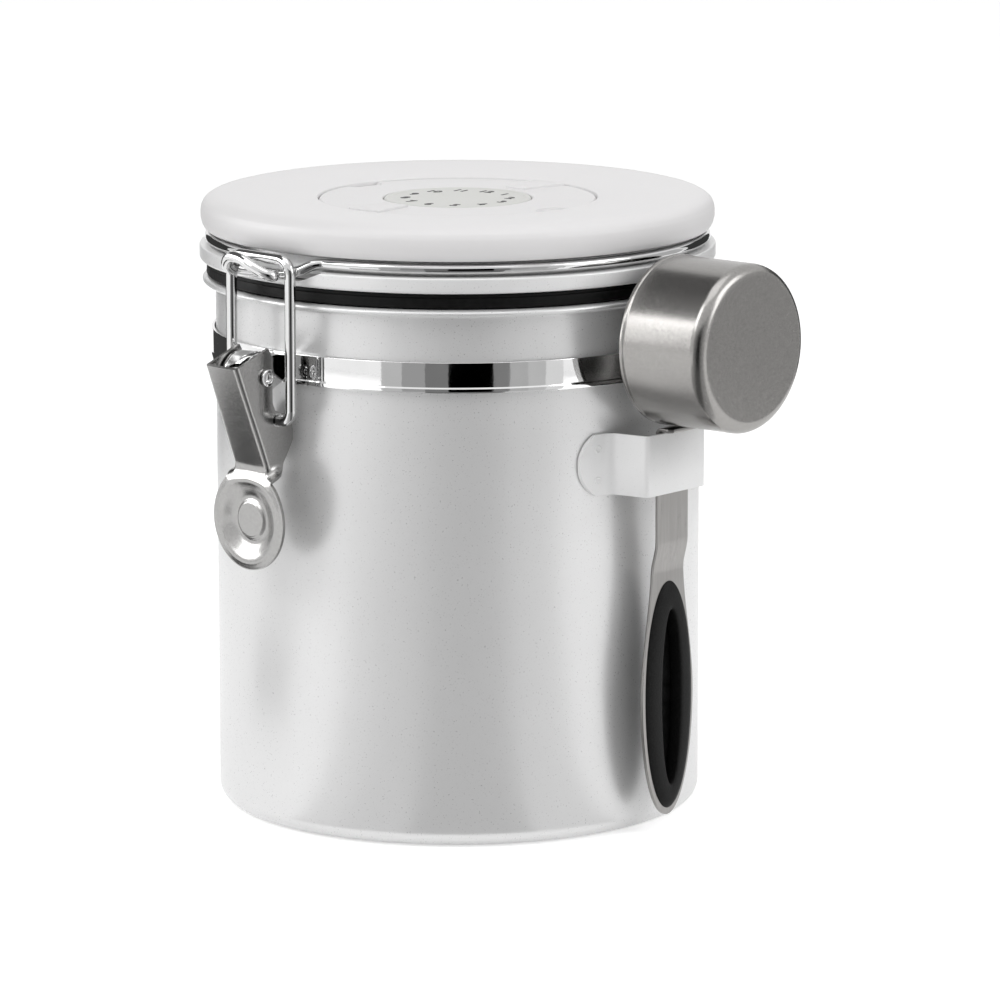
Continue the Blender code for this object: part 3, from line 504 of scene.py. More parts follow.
coverSize = {"foot": 62.2, "bottom": 143.85, "top": 152.4, "recess": 34.6, "recessRim": 151.1,
             "recessFloor": 149.1, "hole": 5.3, "wall": 1.8, "skirt": 58.55, "skirtBottom": 137.4,
             "edge": [(62.8, 144.4), (63.3, 145.4), (63.6, 146.8), (63.6, 148.1), (63.45, 149.3),
                      (62.98, 150.45), (62.2, 151.2), (61.0, 151.85), (59.7, 152.2), (58.2, 152.4)],
             "under": [(1.6, 58.55), (0.8, 60.6), (0.0, 61.4)], "postZ": 144.2,
             "post": {"radius": 3.5, "depth": 13.6, "lift": 0},
             "pilot": {"radius": 1.5, "depth": 9, "lift": -3.5}}


def makeCover():
    s = coverSize
    under = s["top"] - s["wall"]
    floorUnder = s["recessFloor"] - s["wall"]
    profile = [(s["foot"], s["bottom"])] + s["edge"]
    profile += [(s["recess"], s["recessRim"]), (s["recess"], s["recessFloor"]), (s["hole"], s["recessFloor"]),
                (s["hole"], floorUnder), (s["recess"] + s["wall"], floorUnder),
                (s["recess"] + s["wall"], s["recessRim"] - s["wall"]), (s["skirt"] - s["wall"], under),
                (s["skirt"] - s["wall"], s["skirtBottom"]), (s["skirt"], s["skirtBottom"])]
    profile += [(out, s["bottom"] + rise) for rise, out in s["under"]]
    cover = add("lidCover", turned(profile, roundSteps, 0.35), coverPlastic, "lid", ["lid_cover"],
                sharp=45)
    for rod, operation in ((s["post"], "UNION"), (s["pilot"], "DIFFERENCE")):
        spots = screwSpots(s["postZ"] + rod["lift"])
        cutAway(cover, rodTools(rod["radius"], rod["depth"], spots, 32), operation, 45)


screwProfile = [(0, 135.05), (1.0, 135.05), (1.4, 134.62), (2.2, 134.68), (2.8, 135.3), (2.8, 136.0),
                (1.2, 136.0), (1.2, 143.3), (0, 143.3)]


def makeScrews():
    for i, spot in enumerate(screwSpots(0)):
        add(f"coverScrew{i + 1}", turned(screwProfile, 32, 0.12, closed=False), leverSteel, "lid",
            [f"cover_screw_{i + 1}"], Matrix.Translation(spot))


makeGasket()
makePan()
makeCover()
makeScrews()
print("lid ready")


# Month dial
dialSize = {"outer": 34.3, "inner": 18.5, "lip": 16.0, "bottom": 149.4, "top": 150.8, "edge": (0.35, 0.45),
            "innerEdge": 0.25, "ledge": 0.5, "gripRise": 0.6, "gripInner": 21.0, "gripInset": 0.5,
            "gripCorner": 1.0, "gripEdge": 0.3, "gripBearing": 1.5, "gripAngle": 8.7, "notchBearing": 90.5,
            "notchRadius": 5.2, "notchFlare": 0.6, "notchDepth": 0.7}


def ringSector(inner, outer, half, bearing):
    middle = bearing - 90
    return (arcPoints(0, 0, outer, middle - half, middle + half, 10)
            + arcPoints(0, 0, inner, middle + half, middle - half, 10))


def makeDial():
    s = dialSize
    edgeIn, edgeDown = s["edge"]
    ledge = s["bottom"] + s["ledge"]
    profile = [(s["lip"], s["bottom"]), (s["outer"], s["bottom"]), (s["outer"], s["top"] - edgeDown),
               (s["outer"] - edgeIn, s["top"]), (s["inner"] + s["innerEdge"], s["top"]),
               (s["inner"], s["top"] - s["innerEdge"]), (s["inner"], ledge), (s["lip"], ledge)]
    ring = add("dialRing", turned(profile, 192, 0.2), dialPlastic, "dial", ["dial_ring"])
    grips, hollows = [], []
    for turn in (0, 180):
        outline = ringSector(s["gripInner"], s["outer"] - s["gripInset"], s["gripAngle"],
                             s["gripBearing"] + turn)
        grip = plate(softened(outline, s["gripCorner"]), s["gripRise"] + s["gripInset"], s["gripEdge"])
        grips.append(toolFrom(grip, moved(0, 0, s["top"] - s["gripInset"])))
        depth = 2
        place = moved(0, -s["outer"], s["top"] + depth / 2 - s["notchDepth"])
        hollows.append(rodTool(s["notchRadius"], depth, facing(s["notchBearing"] + turn) @ place, 40,
                               s["notchRadius"] + s["notchFlare"]))
    cutAway(ring, grips, "UNION")
    cutAway(ring, hollows)


discSize = {"radius": 18.2, "bottom": 150.0, "top": 150.8, "rim": 0.3, "field": (16.6, 16.9),
            "fieldDrop": 0.18, "stem": 5.0, "stemBottom": 145.6, "stemEdge": 0.3, "numberCircle": 13.0,
            "numberSize": 4.002, "numberTurn": 12.0, "numberBold": 0.08, "numberThick": 0.05,
            "numberLift": 0.02}
clipSize = {"inner": 5.3, "outer": 8.5, "bottom": 146.2, "top": 147.0}


def makeDisc():
    s = discSize
    field = s["top"] - s["fieldDrop"]
    profile = [(0, s["stemBottom"]), (s["stem"] - s["stemEdge"], s["stemBottom"]),
               (s["stem"], s["stemBottom"] + s["stemEdge"]), (s["stem"], s["bottom"]),
               (s["radius"], s["bottom"]), (s["radius"], s["top"] - s["rim"]),
               (s["radius"] - s["rim"], s["top"]), (s["field"][1], s["top"]), (s["field"][0], field),
               (0, field)]
    add("numberDisc", turned(profile, 160, 0.12, closed=False), discPlastic, "lid", ["number_disc"])
    c = clipSize
    profile = rectangle(c["inner"], c["outer"], c["bottom"], c["top"])
    add("dialClip", turned(profile, 64, 0.15), leverSteel, "lid", ["dial_clip"])
    turn = math.radians(s["numberTurn"])
    for number in range(1, 13):
        curve = bpy.data.curves.new(f"number{number}", "FONT")
        curve.body = str(number)
        curve.size = s["numberSize"] * mm
        curve.align_x = curve.align_y = "CENTER"
        curve.offset = s["numberBold"] * mm
        curve.extrude = s["numberThick"] * mm
        text = linked(f"number{number}Text", curve)
        mesh = settled(text)
        bpy.data.objects.remove(text)
        angle = math.radians(90 - 30 * number) + turn
        centre = Vector((s["numberCircle"] * math.cos(angle), s["numberCircle"] * math.sin(angle),
                         field + s["numberLift"]))
        mesh.transform(Matrix.Translation(centre * mm) @ facing(s["numberTurn"]))
        dress(f"number{number}", mesh, ink, "lid")


makeDial()
makeDisc()
print("dial ready")


# Vent valve
valveSize = {"radius": 13.9, "bore": 12.6, "flange": 17.0, "flangeZ": (135.0, 136.0), "bottom": 133.0,
             "top": 140.6, "seat": 137.0, "seatTop": 138.0, "stemHole": 1.5, "vents": (6, 5.6, 1.6),
             "grilleVents": (6, 7.0, 2.2), "grilleTop": 133.8, "filter": (134.1, 134.8), "discGap": 0.3,
             "membrane": [(0, 135.0), (1.5, 135.0), (2.2, 135.6), (1.2, 135.9), (1.2, 138.3), (9, 138.3),
                          (9, 138.7), (1.2, 139.1), (0, 139.1)]}


def ventRing(count, circle, radius, low, high):
    return rodTools(radius, high - low + 2, ringSpots(count, circle, (low + high) / 2), 28)


def makeValve():
    s = valveSize
    flangeLow, flangeHigh = s["flangeZ"]
    profile = [(s["bore"], s["bottom"]), (s["radius"], s["bottom"]), (s["radius"], flangeLow),
               (s["flange"], flangeLow), (s["flange"], flangeHigh), (s["radius"], flangeHigh),
               (s["radius"], s["top"]), (s["bore"], s["top"]), (s["bore"], s["seatTop"]),
               (s["stemHole"], s["seatTop"]), (s["stemHole"], s["seat"]), (s["bore"], s["seat"])]
    housing = add("valveHousing", turned(profile, 96, 0.2), valvePlastic, "lid", ["valve_housing"])
    cutAway(housing, ventRing(*s["vents"], s["seat"], s["seatTop"]))
    add("valveMembrane", turned(s["membrane"], 64, 0.12, closed=False), silicone, "valve", ["valve_membrane"])
    disc = s["bore"] - s["discGap"]
    profile = rectangle(0, disc, *s["filter"])
    add("valveFilter", turned(profile, 64, 0.15, closed=False), felt, "lid", ["valve_filter"])
    profile = rectangle(0, disc, s["bottom"], s["grilleTop"])
    grille = add("valveGrille", turned(profile, 96, 0.2, closed=False), valvePlastic, "lid", ["valve_grille"])
    cutAway(grille, ventRing(*s["grilleVents"], s["bottom"], s["grilleTop"]))


makeValve()
print("valve ready")


# Lid wire: the ring, the tails into the hinge and the crossed eye in front
wireRadius = 1.35
ringSize = {"radius": 61.3, "height": 141.95, "exit": 13.5, "tailHalf": 13.0, "hingeOut": 66.9,
            "hingeZ": 127.5, "eyeHalf": 12.4, "eyeReach": 5.0, "eyeDrop": 3.7, "barOut": 66.8,
            "barZ": 143.0,
            # points of the eye as shares of its half width, reach and drop
            "leftShares": [(-0.85, -1.04, 0.41), (-0.61, -0.60, 0.76), (-0.56, 0.00, 1.00),
                           (-0.58, 0.56, 0.95), (-0.53, 1.00, 0.51), (-0.34, 1.22, -0.05),
                           (-0.04, 1.22, -0.05), (0.24, 1.16, 0.35), (0.48, 0.94, 0.78),
                           (0.58, 0.60, 0.97), (0.52, 0.30, 1.00)],
            "rightShares": [(1.00, -1.04, 0.38), (0.82, -0.62, 0.73), (0.56, -0.32, 0.97),
                            (0.28, -0.10, 1.00), (0.00, 0.24, 1.00), (-0.23, 0.56, 0.97),
                            (-0.31, 0.68, 0.92)]}


def ringRun(start, end, steps):
    s = ringSize
    return [(y, -x, s["height"]) for x, y in arcPoints(0, 0, s["radius"], start, end, steps)]


def makeLidWire():
    s = ringSize

    def eye(shares, side):
        path = ringRun(side * s["exit"] * 1.25, side * s["exit"], 1)
        for across, out, down in shares:
            path.append((across * s["eyeHalf"], -(s["barOut"] + out * s["eyeReach"]),
                         s["barZ"] - down * s["eyeDrop"]))
        return catmull(path, 10)[10:]

    rear = 180 - math.degrees(math.asin((s["tailHalf"] + wireRadius) / s["radius"]))
    bend = 2 * wireRadius
    tail = [(s["tailHalf"] + wireRadius / 5, (s["radius"] + s["hingeOut"]) / 2, s["height"]),
            (s["tailHalf"], s["hingeOut"] - bend / 4, s["height"] - bend / 4),
            (s["tailHalf"], s["hingeOut"], s["height"] - bend)]
    tail += [(s["tailHalf"], s["hingeOut"], s["hingeZ"] + 2 * bend)]
    tail = catmull([ringRun(rear, rear, 1)[0]] + tail, 8)[1:]
    corner = arcPoints(s["tailHalf"] - bend, s["hingeZ"] + bend, bend, 0, -90, 10)
    tail += [(x, s["hingeOut"], z) for x, z in corner]
    half = tail[::-1] + ringRun(rear, s["exit"], 160)
    left = [(-p[0], p[1], p[2]) for p in half] + [tuple(p) for p in eye(s["leftShares"], -1)]
    right = [tuple(p) for p in half] + [tuple(p) for p in eye(s["rightShares"], 1)]
    wire("lidWire", left[::-1] + right, wireRadius, wireChrome, "lid", ["lid_wire"])


# Hinge bracket, latch bracket and pin
hingeSize = {"out": 62.05, "low": 113.4, "high": 119.4, "half": 8, "sheet": 0.8, "knuckle": 2.01,
             "lead": 60, "roll": 285}


def makeHingeBracket():
    s, ring = hingeSize, ringSize
    start = math.degrees(math.atan2(s["high"] - ring["hingeZ"], s["out"] - ring["hingeOut"])) - s["lead"]
    line = [(s["out"], s["low"]), (s["out"], s["high"])]
    line += arcPoints(ring["hingeOut"], ring["hingeZ"], s["knuckle"], start, start - s["roll"], 36)
    bm = plate(strip(line, s["sheet"]), 2 * s["half"], 0.15)
    bm.transform(moved(-s["half"], 0, 0) @ sideways)
    add("hingeBracket", bm, chrome, "canister", ["hinge_bracket"], facing(180), sharp=30)


latchSize = {"pinOut": 70.3, "pinZ": 114.6, "pinRadius": 1.5, "pinHole": 1.8, "pinReach": 5.8,
             "pinEnd": 6.5, "pinBore": 1.2, "boreDepth": 1.0, "headRadius": 2.1, "hookOut": 66.8,
             "hookZ": 103.9, "hookHole": 1.65, "earIn": 3.1, "earOut": 4.0, "earRadius": 5.8,
             "footOut": 61.65, "footSheet": 0.9, "footLow": 113.8, "footHigh": 119.0, "drill": 20}


def makeLatchBracket():
    s = latchSize
    foot = rectangle(s["footOut"], s["footOut"] + s["footSheet"], s["footLow"], s["footHigh"])
    bracket = plate(foot, 2 * s["earOut"], 0.12)
    bracket.transform(moved(-s["earOut"], 0, 0) @ sideways)
    piece = add("latchBracket", bracket, chrome, "canister", ["latch_bracket"])
    ear = arcPoints(s["pinOut"], s["pinZ"], s["earRadius"], -80, 100, 28)
    ear += [(s["footOut"], s["footHigh"]), (s["footOut"], s["footLow"])]
    plates = [toolFrom(plate(ear, s["earOut"] - s["earIn"], 0.12), moved(low, 0, 0) @ sideways)
              for low in (s["earIn"], -s["earOut"])]
    cutAway(piece, plates, "UNION")
    place = moved(0, -s["pinOut"], s["pinZ"]) @ crosswise
    cutAway(piece, [rodTool(s["pinHole"], s["drill"], place, 40)])
    reach, end, bore = s["pinReach"], s["pinEnd"], s["pinBore"]
    half = [(s["pinRadius"], reach), (s["headRadius"], reach), (s["headRadius"], end), (bore, end),
            (bore, end - s["boreDepth"]), (0, end - s["boreDepth"])]
    profile = [(r, -z) for r, z in half[::-1]] + half
    add("latchPin", turned(profile, 48, 0.18, closed=False), chrome, "canister", ["latch_pin"],
        place)


bailSize = {"half": 10.3, "top": 143.0, "corner": 3.6, "hookCorner": 2.9, "hookEnd": 4.15}


def makeBail():
    s, hinge = bailSize, latchSize
    half = [(s["hookEnd"], hinge["hookZ"])]
    low = s["hookCorner"]
    half += arcPoints(s["half"] - low, hinge["hookZ"] + low, low, -90, 0, 12)
    half += arcPoints(s["half"] - s["corner"], s["top"] - s["corner"], s["corner"], 0, 90, 14)
    path = [(-x, -hinge["hookOut"], z) for x, z in half] + [(x, -hinge["hookOut"], z) for x, z in half[::-1]]
    wire("latchBail", path, wireRadius, wireChrome, "bail", ["latch_bail"])


makeLidWire()
makeHingeBracket()
makeLatchBracket()
makeBail()
print("wires and brackets ready")


# Pressed lever: a channel whose cheeks run out into a neck and a dished thumb pad
leverSize = {"faceTop": (80.15, 117.6), "faceLow": (70.4, 92.0), "half": 5.5, "neckHalf": 5.9, "fold": 0.9,
             "sheet": 0.9, "padOut": 71.9, "padZ": 79.3, "padRadius": 12.2, "dish": 1.7, "coin": 0.7,
             "coinEdge": (0.34, 0.42), "dishEdge": (0.42, 0.86), "lip": 0.35, "crown": 0.2, "lean": 0.38,
             "leanFrom": 104, "backRef": 69.6, "columns": 72, "rows": 150,
             # height and distance out of the cheeks' rear edge, from the top down
             "backEdge": [(121.4, 69.6), (119.0, 68.5), (108.0, 68.4), (106.2, 67.6), (105.2, 64.6),
                          (103.9, 62.6), (101.0, 62.0), (98.6, 62.1), (95.6, 63.8), (93.4, 65.2),
                          (91.0, 66.9), (89.2, 68.6), (87.6, 70.6), (60.0, 70.6)]}


def between(table, value):
    for (high, first), (low, second) in zip(table, table[1:]):
        if value >= low:
            share = min(max((high - value) / (high - low), 0), 1)
            return first + (second - first) * share
    return table[-1][1]


def smoothStep(value, low, high):
    t = min(max((value - low) / (high - low), 0), 1)
    return t * t * (3 - 2 * t)


def makeLever():
    s = leverSize
    (topOut, topZ), (lowOut, lowZ) = s["faceTop"], s["faceLow"]
    bottom = s["padZ"] - s["padRadius"]
    bm = bmesh.new()
    bmesh.ops.create_grid(bm, x_segments=s["columns"], y_segments=s["rows"], size=1)
    for v in bm.verts:
        u, down = v.co.x, (1 - v.co.y) / 2
        z = topZ + (bottom - topZ) * (down if down < 0.5 else 0.5 + 0.5 * math.sin((down - 0.5) * math.pi))
        inPad = smoothStep(z, lowZ + 1.5, lowZ - 3.5)
        disc = math.sqrt(max(s["padRadius"] ** 2 - (z - s["padZ"]) ** 2, 0))
        neck = s["half"] + (s["neckHalf"] - s["half"]) * smoothStep(z, topZ, lowZ + 4)
        neck *= 1 - smoothStep(z, s["padZ"] + 8, s["padZ"] + 2)
        width = disc if neck < 0.01 else (neck ** 5 + disc ** 5) ** 0.2
        line = lowOut + (topOut - lowOut) * max(z - lowZ, -6) / (topZ - lowZ)
        out = line + (s["padOut"] - line) * inPad
        leaning = smoothStep(z, s["leanFrom"], topZ)
        flange = max(out - between(s["backEdge"], z + 0.35 * (out - s["backRef"]) * leaning), 0)
        flange *= 1 - smoothStep(z, lowZ - 0.5, lowZ - 4.0)
        bendTurn = math.pi / 2 * (1 - inPad)
        radius = s["fold"]
        flat = max(width - radius * math.sin(bendTurn), 0)
        reach = flat + radius * bendTurn + max(flange - radius, 0)
        run = abs(u) * reach
        if run <= flat:
            across, depth = run, 0
        else:
            turn = min((run - flat) / radius, bendTurn)
            rest = max(run - flat - radius * bendTurn, 0)
            across = flat + radius * math.sin(turn) + rest * math.cos(bendTurn)
            depth = radius * (1 - math.cos(turn)) + rest * math.sin(bendTurn)
        x = math.copysign(across, u)
        crown = s["crown"] * max(1 - (x / max(width, 0.1)) ** 2, 0) * (1 - inPad)
        away = math.hypot(x, z - s["padZ"]) / s["padRadius"]
        hollow = s["dish"] * (1 - smoothStep(away, *s["dishEdge"]))
        hollow -= s["coin"] * (1 - smoothStep(away, *s["coinEdge"]))
        lip = -s["lip"] * smoothStep(away, s["dishEdge"][1], 1.0) * inPad
        v.co = (x, -(out + crown - depth - hollow * inPad + lip), z + leaning * s["lean"] * depth)
    bmesh.ops.recalc_face_normals(bm, faces=bm.faces)
    if sum(f.normal.y for f in bm.faces) > 0:
        bmesh.ops.reverse_faces(bm, faces=bm.faces)
    bmesh.ops.remove_doubles(bm, verts=bm.verts, dist=0.004)
    bmesh.ops.solidify(bm, geom=bm.faces, thickness=s["sheet"])
    lever = add("latchLever", bm, leverSteel, "lever", ["latch_lever"], sharp=50)
    latch = latchSize
    tools = [rodTool(latch[part + "Hole"], latch["drill"],
                     moved(0, -latch[part + "Out"], latch[part + "Z"]) @ crosswise, 40)
             for part in ("pin", "hook")]
    cutAway(lever, tools, sharp=50)


makeLever()
print("lever ready")


# Scoop holder
holderSize = {"bottom": 85.15, "top": 100.15, "sheet": 0.8, "faceOut": 70.1, "faceHalf": 10.75,
              "slope": 1.6, "earOut": 60.7, "earLength": 9.3, "endRadius": 8.6, "foldRun": 5.6,
              "foldRadius": 2.5, "faceRadius": 0.9, "bearing": 94.2, "dimpleTurn": 0.066,
              "dimpleLift": 3.85, "dimpleOut": 0.42,
              "dimple": [(0, 0.02), (0.45, 0.0), (0.62, 0.16), (0.85, 0.2), (1.05, 0.04), (1.05, -0.2),
                         (0, -0.2)]}


def makeHolder():
    s = holderSize
    foot = s["faceHalf"] + s["slope"]
    bend = math.asin(foot / s["earOut"])
    tip = bend + s["earLength"] / s["earOut"]
    flat = bend + s["foldRun"] / s["earOut"]
    turns = [tip + (flat - tip) * i / 6 for i in range(7)] + [bend]
    line = [(s["earOut"] * math.sin(a), s["earOut"] * math.cos(a)) for a in turns]
    line += [(s["faceHalf"], s["faceOut"] - s["sheet"] / 2)]
    line = softened(line, s["foldRadius"], 8, closed=False)
    line = softened(line + [(-x, out) for x, out in reversed(line)], s["faceRadius"], 5, closed=False)
    outline = [(x, -out) for x, out in strip(line, s["sheet"])]
    bm = plate(outline, s["top"] - s["bottom"], 0.16)
    station = facing(s["bearing"])
    holder = add("scoopHolder", bm, holderPaint, "canister", ["scoop_holder"],
                 station @ moved(0, 0, s["bottom"]), sharp=32)
    middle = (s["top"] + s["bottom"]) / 2
    end = s["earOut"] * math.sin(tip) - s["endRadius"]
    reach = math.degrees(math.asin((middle - s["bottom"] + 0.02) / s["endRadius"]))
    keep = arcPoints(end, middle, s["endRadius"], reach, -reach, 28)
    keep += arcPoints(-end, middle, s["endRadius"], 180 + reach, 180 - reach, 28)
    cutAway(holder, [toolFrom(plate(keep, 80, 0), station @ upright)], "INTERSECT", 32)
    for side in (-1, 1):
        for row, lift in enumerate((-s["dimpleLift"], s["dimpleLift"])):
            dimple = turned(s["dimple"], 28, 0.08, closed=False)
            place = (station @ facing(math.degrees(side * (bend + s["dimpleTurn"])))
                     @ moved(0, -s["earOut"] - s["dimpleOut"], middle + lift) @ upright)
            add(f"weldDimple{'L' if side < 0 else 'R'}{row + 1}", dimple, holderPaint, "canister",
                place=place)


# Scoop: cup, handle and grip
scoopSize = {"rimOut": 68.8, "radius": 20.5, "lip": 0.2, "wall": 0.9, "depth": 24.7, "corner": 3.3,
             "cupZ": 122.45, "stripIn": 66.6, "sheet": 1.0, "half": 5.75, "bulgeHalf": 9.7, "tip": 4.6,
             "wideZ": 34.5, "flareTop": 68.0, "gripHalf": 8.7, "gripLow": 6.3, "gripHigh": 62.9,
             "slotHalf": 3.6, "slotLow": 12.4, "slotHigh": 56.0, "windowShare": 0.3, "grooveShare": 0.27,
             "gripThick": 3.8, "step": 1.4, "stepLow": 65.3, "stepHigh": 73.3, "curlZ": 99.95, "curl": 1.0,
             "shelf": 3.5, "rimBand": (1.3, 0.8, 0.1), "rimSoft": (0.1, 0.25),
             # the grip's section, as shares of the band round the window and of half its thickness
             "gripSection": [(0.0, 0.70), (0.02, 0.86), (0.08, 0.97), (0.20, 1.0), (0.38, 1.0),
                             (0.60, 0.96), (0.80, 0.80), (0.93, 0.52), (0.99, 0.35), (1.0, 0.0)]}


def makeCup():
    s = scoopSize
    inner = s["radius"] - s["wall"]
    centre = (s["radius"] - s["corner"], s["depth"] - s["corner"])
    outer = arcPoints(*centre, s["corner"], 0, 90, 14)
    hollow = arcPoints(*centre, s["corner"] - s["wall"], 90, 0, 12)
    start, high, low = s["rimBand"]
    rimOut, rimIn = s["rimSoft"]
    profile = [(0, s["depth"])] + outer[::-1]
    profile += [(s["radius"], start), (s["radius"] + s["lip"], high), (s["radius"] + s["lip"], low),
                (s["radius"] + rimOut, 0.0), (inner, rimIn)]
    profile += hollow[::-1] + [(0, s["depth"] - s["wall"])]
    place = facing(holderSize["bearing"]) @ moved(0, -s["rimOut"], s["cupZ"]) @ upright
    add("scoopCup", turned(profile, 192, 0.2, closed=False), cupSteel, "scoop", ["scoop_cup"],
        place, sharp=45)


def egg(count, half, low, wide, high):
    points = []
    for i in range(count):
        angle = math.tau * i / count
        rise = (high - wide) if math.sin(angle) > 0 else (wide - low)
        points.append((half * math.cos(angle), wide + rise * math.sin(angle)))
    return points


def bendStrip(bm):
    s = scoopSize
    quarter = math.pi / 2 * s["curl"]
    cuts = [s["stepLow"] + (s["stepHigh"] - s["stepLow"]) * k / 8 for k in range(9)]
    for height in cuts + [s["curlZ"] + quarter * k / 8 for k in range(9)]:
        bmesh.ops.bisect_plane(bm, geom=bm.verts[:] + bm.edges[:] + bm.faces[:], dist=0.001,
                               plane_co=(0, height, 0), plane_no=(0, 1, 0))
    for v in bm.verts:
        past = v.co.y - s["curlZ"]
        if past > 0:
            turn, reach = min(past / s["curl"], math.pi / 2), s["curl"] + s["sheet"] / 2 - v.co.z
            v.co.y = s["curlZ"] + reach * math.sin(turn)
            v.co.z = s["step"] + s["sheet"] / 2 + s["curl"] - reach * math.cos(turn) + max(past - quarter, 0)
        else:
            v.co.z += s["step"] * smoothStep(v.co.y, s["stepLow"], s["stepHigh"])


def makeHandle():
    s = scoopSize
    flare = []
    for i in range(1, 25):
        share = i / 24
        flare.append((s["half"] + (s["bulgeHalf"] - s["half"]) * smoothStep(share, 0, 1),
                      s["flareTop"] + (s["wideZ"] - s["flareTop"]) * share))
    tip = [(s["bulgeHalf"] * x, s["wideZ"] + (s["wideZ"] - s["tip"]) * z)
           for x, z in arcPoints(0, 0, 1, 0, -90, 30)[1:]]
    end = s["curlZ"] + math.pi / 2 * s["curl"] + s["shelf"]
    right = [(s["half"] - 1, end), (s["half"], end - 1), (s["half"], s["flareTop"])] + flare + tip
    outline = right + [(-x, z) for x, z in right[-2::-1]]
    station = facing(holderSize["bearing"]) @ moved(0, -s["stripIn"], 0)
    flat = plate(outline, s["sheet"], 0.25)
    bendStrip(flat)
    handle = add("scoopHandle", flat, handleSteel, "scoop", ["scoop_handle"],
                 station @ upright, sharp=40)
    inner = egg(96, s["slotHalf"], s["slotLow"], s["wideZ"], s["slotHigh"])
    outer = egg(96, s["gripHalf"], s["gripLow"], s["wideZ"], s["gripHigh"])
    share = s["windowShare"]
    window = [(a[0] + (b[0] - a[0]) * share, a[1] + (b[1] - a[1]) * share) for a, b in zip(inner, outer)]
    across = station @ moved(0, 1.5, 0) @ upright
    cutAway(handle, [toolFrom(plate(window, 4, 0), across)], sharp=40)

    # The grip is a section swept round the window.
    half = s["gripThick"] / 2
    steel = s["sheet"] / 2 + 0.05  # the rubber starts just over the steel
    upper = [(share, max(high * half, steel)) for share, high in s["gripSection"]]
    groove = s["grooveShare"]
    section = upper + [(groove, steel), (groove, -steel)] + [(share, -high) for share, high in upper[::-1]]
    bm = bmesh.new()
    rings = []
    for share, high in section:
        rings.append([bm.verts.new((a[0] + (b[0] - a[0]) * share, -(s["sheet"] / 2 + high),
                                    a[1] + (b[1] - a[1]) * share)) for a, b in zip(inner, outer)])
    for ring in rings:
        for pair in zip(ring, ring[1:] + ring[:1]):
            bm.edges.new(pair)
    for first, second in zip(rings, rings[1:] + rings[:1]):
        edges = [bm.edges.get(pair) for ring in (first, second) for pair in zip(ring, ring[1:] + ring[:1])]
        bmesh.ops.bridge_loops(bm, edges=edges)
    add("handleGrip", bm, gripRubber, "scoop", ["handle_grip"], station, sharp=50)


makeHolder()
makeCup()
makeHandle()
print("scoop and holder ready")


# Studio. Screens are seen only in reflections. Bearings are taken from the camera's.
# lamps: name, bearing, distance, height, size, power
# screens: name, first and last bearing, low, high, level
# floorScreens: name, first and last bearing, near, far, level
studio = {"floor": 0.86, "floorGlow": 0.48, "worldFill": 0.45,
          "lamps": [("keyLamp", -62, 1500, 1500, 1100, 14.0), ("rightLamp", 70, 1500, 900, 1000, 8.5),
                    ("topLamp", 0, 300, 2000, 1400, 7.0)],
          "screens": [("sideBright", -104, -70, 140, 390, 5.6), ("sideHigh", -165, -60, 400, 1300, 0.13),
                      ("left1", -33, -24, 0, 300, 0.55), ("left2", -24, -14, 0, 300, 0.36),
                      ("left3", -14, -4, 0, 300, 0.20), ("middle", -4, 15, 0, 300, 0.0),
                      ("right1", 15, 22, 0, 300, 0.22), ("right2", 22, 30, 0, 300, 0.46),
                      ("right3", 30, 38, 0, 300, 0.55), ("right4", 38, 46, 0, 300, 0.78),
                      ("rightDark", 66, 115, 0, 300, 0.6), ("rearLeft", -155, -120, 0, 300, 0.05),
                      ("rearRight", 120, 155, 0, 300, 0.05)],
          "floorScreens": [("leverFloor", -98, -74, 150, 215, 0.03), ("softFloor", -48, -34, 64, 430, 0.72),
                           ("leftFloor", -34, -14, 64, 430, 0.5), ("middleFloor", -14, 20, 64, 430, 0.16),
                           ("rightFloor", 20, 44, 64, 430, 0.62)],
          "screenDistance": 430, "screenLift": 0.5, "aim": (0, 0, 80), "floorHalf": 3000, "floorDrop": 0.2}


def around(bearing, distance, height):
    angle = math.radians(bearing + cameraSize["bearing"])
    return Vector((distance * math.sin(angle), -distance * math.cos(angle), height)) * mm


cameraSize = {"bearing": 45.2, "distance": 1541.08, "height": 365.73, "pitch": 10.699, "yaw": 0.3863,
              "roll": -0.0668, "lens": 226.26, "sensor": 36, "clipEnd": 20}


def makeCamera():
    s = cameraSize
    data = bpy.data.cameras.new("camera")
    data.lens = s["lens"]
    data.sensor_width = s["sensor"]
    data.clip_end = s["clipEnd"]
    camera = linked("camera", data)
    turn = facing(s["bearing"] - s["yaw"]) @ rotated(90 - s["pitch"], "X") @ facing(s["roll"])
    camera.matrix_world = Matrix.Translation(around(0, s["distance"], s["height"])) @ turn
    bpy.context.scene.camera = camera


def addScreen(name, start, end, first, second, level):
    look = Finish(name + "Look", Roughness=1.0, Base_Color=grey(0), Emission_Strength=1.0,
                  Emission_Color=grey(level), Specular_IOR_Level=0.0)
    bm = bmesh.new()
    ends = [[bm.verts.new(around(start + (end - start) * k / 16, *corner)) for corner in (first, second)]
            for k in range(17)]
    for one, other in zip(ends, ends[1:]):
        bm.faces.new((one[0], other[0], other[1], one[1]))
    screen = linked(name, meshFrom(bm, name))
    screen.data.materials.append(look.material)
    screen.visible_camera = False
    screen.visible_diffuse = False
    screen.visible_shadow = False


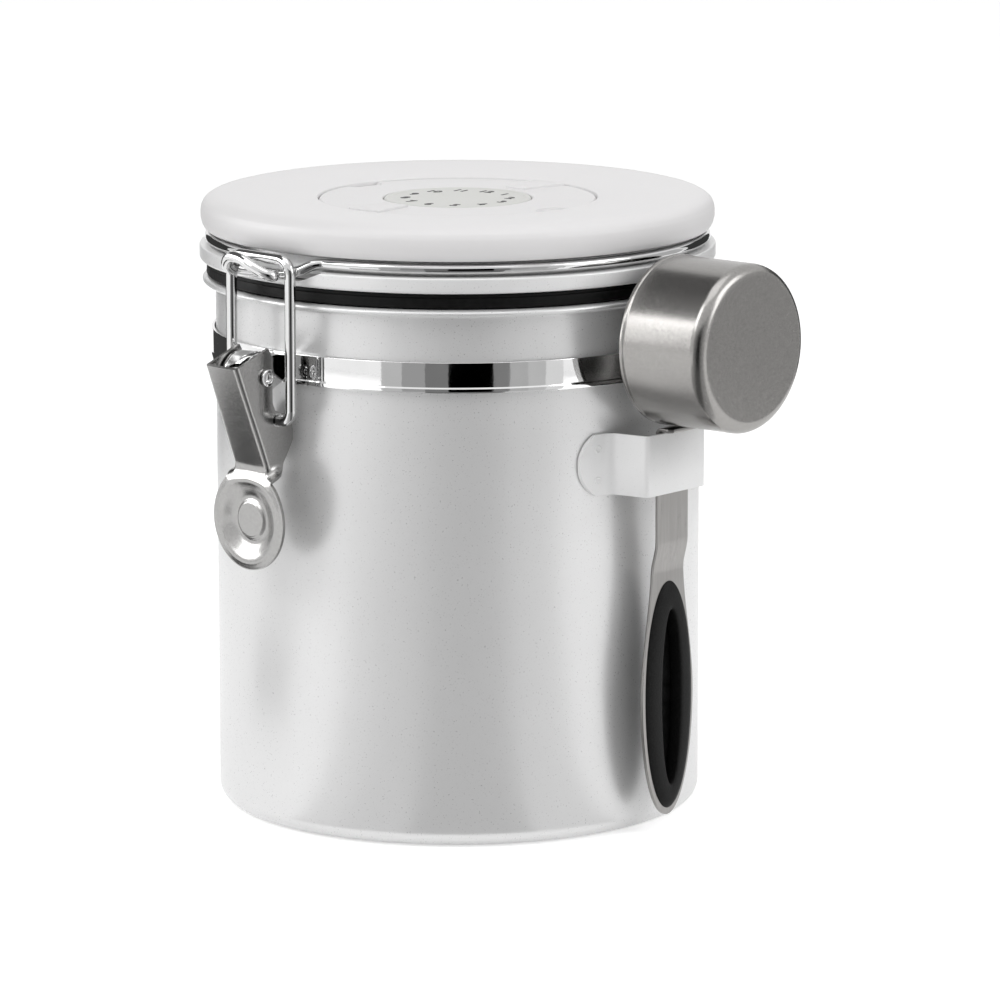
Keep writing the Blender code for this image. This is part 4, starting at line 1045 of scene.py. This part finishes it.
def makeStudio():
    scene = bpy.context.scene
    scene.view_settings.view_transform = "Standard"
    bm = bmesh.new()
    bmesh.ops.create_grid(bm, x_segments=1, y_segments=1, size=studio["floorHalf"] * mm)
    floor = linked("floor", meshFrom(bm, "floor"))
    floor.location.z = -studio["floorDrop"] * mm
    look = Finish("floor_white", Roughness=0.9, Base_Color=grey(studio["floor"]), Emission_Strength=1.0)
    rays = [look.node("ShaderNodeLightPath", output=f"Is {kind} Ray")
            for kind in ("Camera", "Glossy", "Transmission")]
    seen = look.maths("MAXIMUM", look.maths("MAXIMUM", rays[0], rays[1]), rays[2])
    look.paint(Emission_Color=look.blendColours(seen, grey(0), grey(studio["floorGlow"])))
    floor.data.materials.append(look.material)

    world = bpy.data.worlds.new("studioWorld")
    scene.world = world
    world.use_nodes = True
    tree = world.node_tree
    tree.nodes.clear()
    output, rays, fill, white, seen, also, mix = [tree.nodes.new("ShaderNode" + kind) for kind in (
        "OutputWorld", "LightPath", "Background", "Background", "Math", "Math", "MixShader")]
    for background, strength in ((fill, studio["worldFill"]), (white, 1.0)):
        background.inputs["Color"].default_value = grey(1)
        background.inputs["Strength"].default_value = strength
    seen.operation = also.operation = "MAXIMUM"
    for source, target in ((rays.outputs["Is Camera Ray"], seen.inputs[0]),
                           (rays.outputs["Is Glossy Ray"], seen.inputs[1]),
                           (seen.outputs[0], also.inputs[0]),
                           (rays.outputs["Is Transmission Ray"], also.inputs[1]),
                           (also.outputs[0], mix.inputs[0]), (fill.outputs[0], mix.inputs[1]),
                           (white.outputs[0], mix.inputs[2]), (mix.outputs[0], output.inputs["Surface"])):
        tree.links.new(source, target)

    for name, bearing, distance, height, size, power in studio["lamps"]:
        data = bpy.data.lights.new(name, "AREA")
        data.shape = "SQUARE"
        data.size = size * mm
        data.energy = power
        lamp = linked(name, data)
        lamp.location = around(bearing, distance, height)
        aim = Vector(studio["aim"]) * mm - lamp.location
        lamp.rotation_euler = aim.to_track_quat("-Z", "Y").to_euler()

    distance = studio["screenDistance"]
    for name, start, end, low, high, level in studio["screens"]:
        addScreen(name, start, end, (distance, low), (distance, high), level)
    for name, start, end, near, far, level in studio["floorScreens"]:
        addScreen(name, start, end, (near, studio["screenLift"]), (far, studio["screenLift"]), level)


makeCamera()
makeStudio()
print("studio ready")
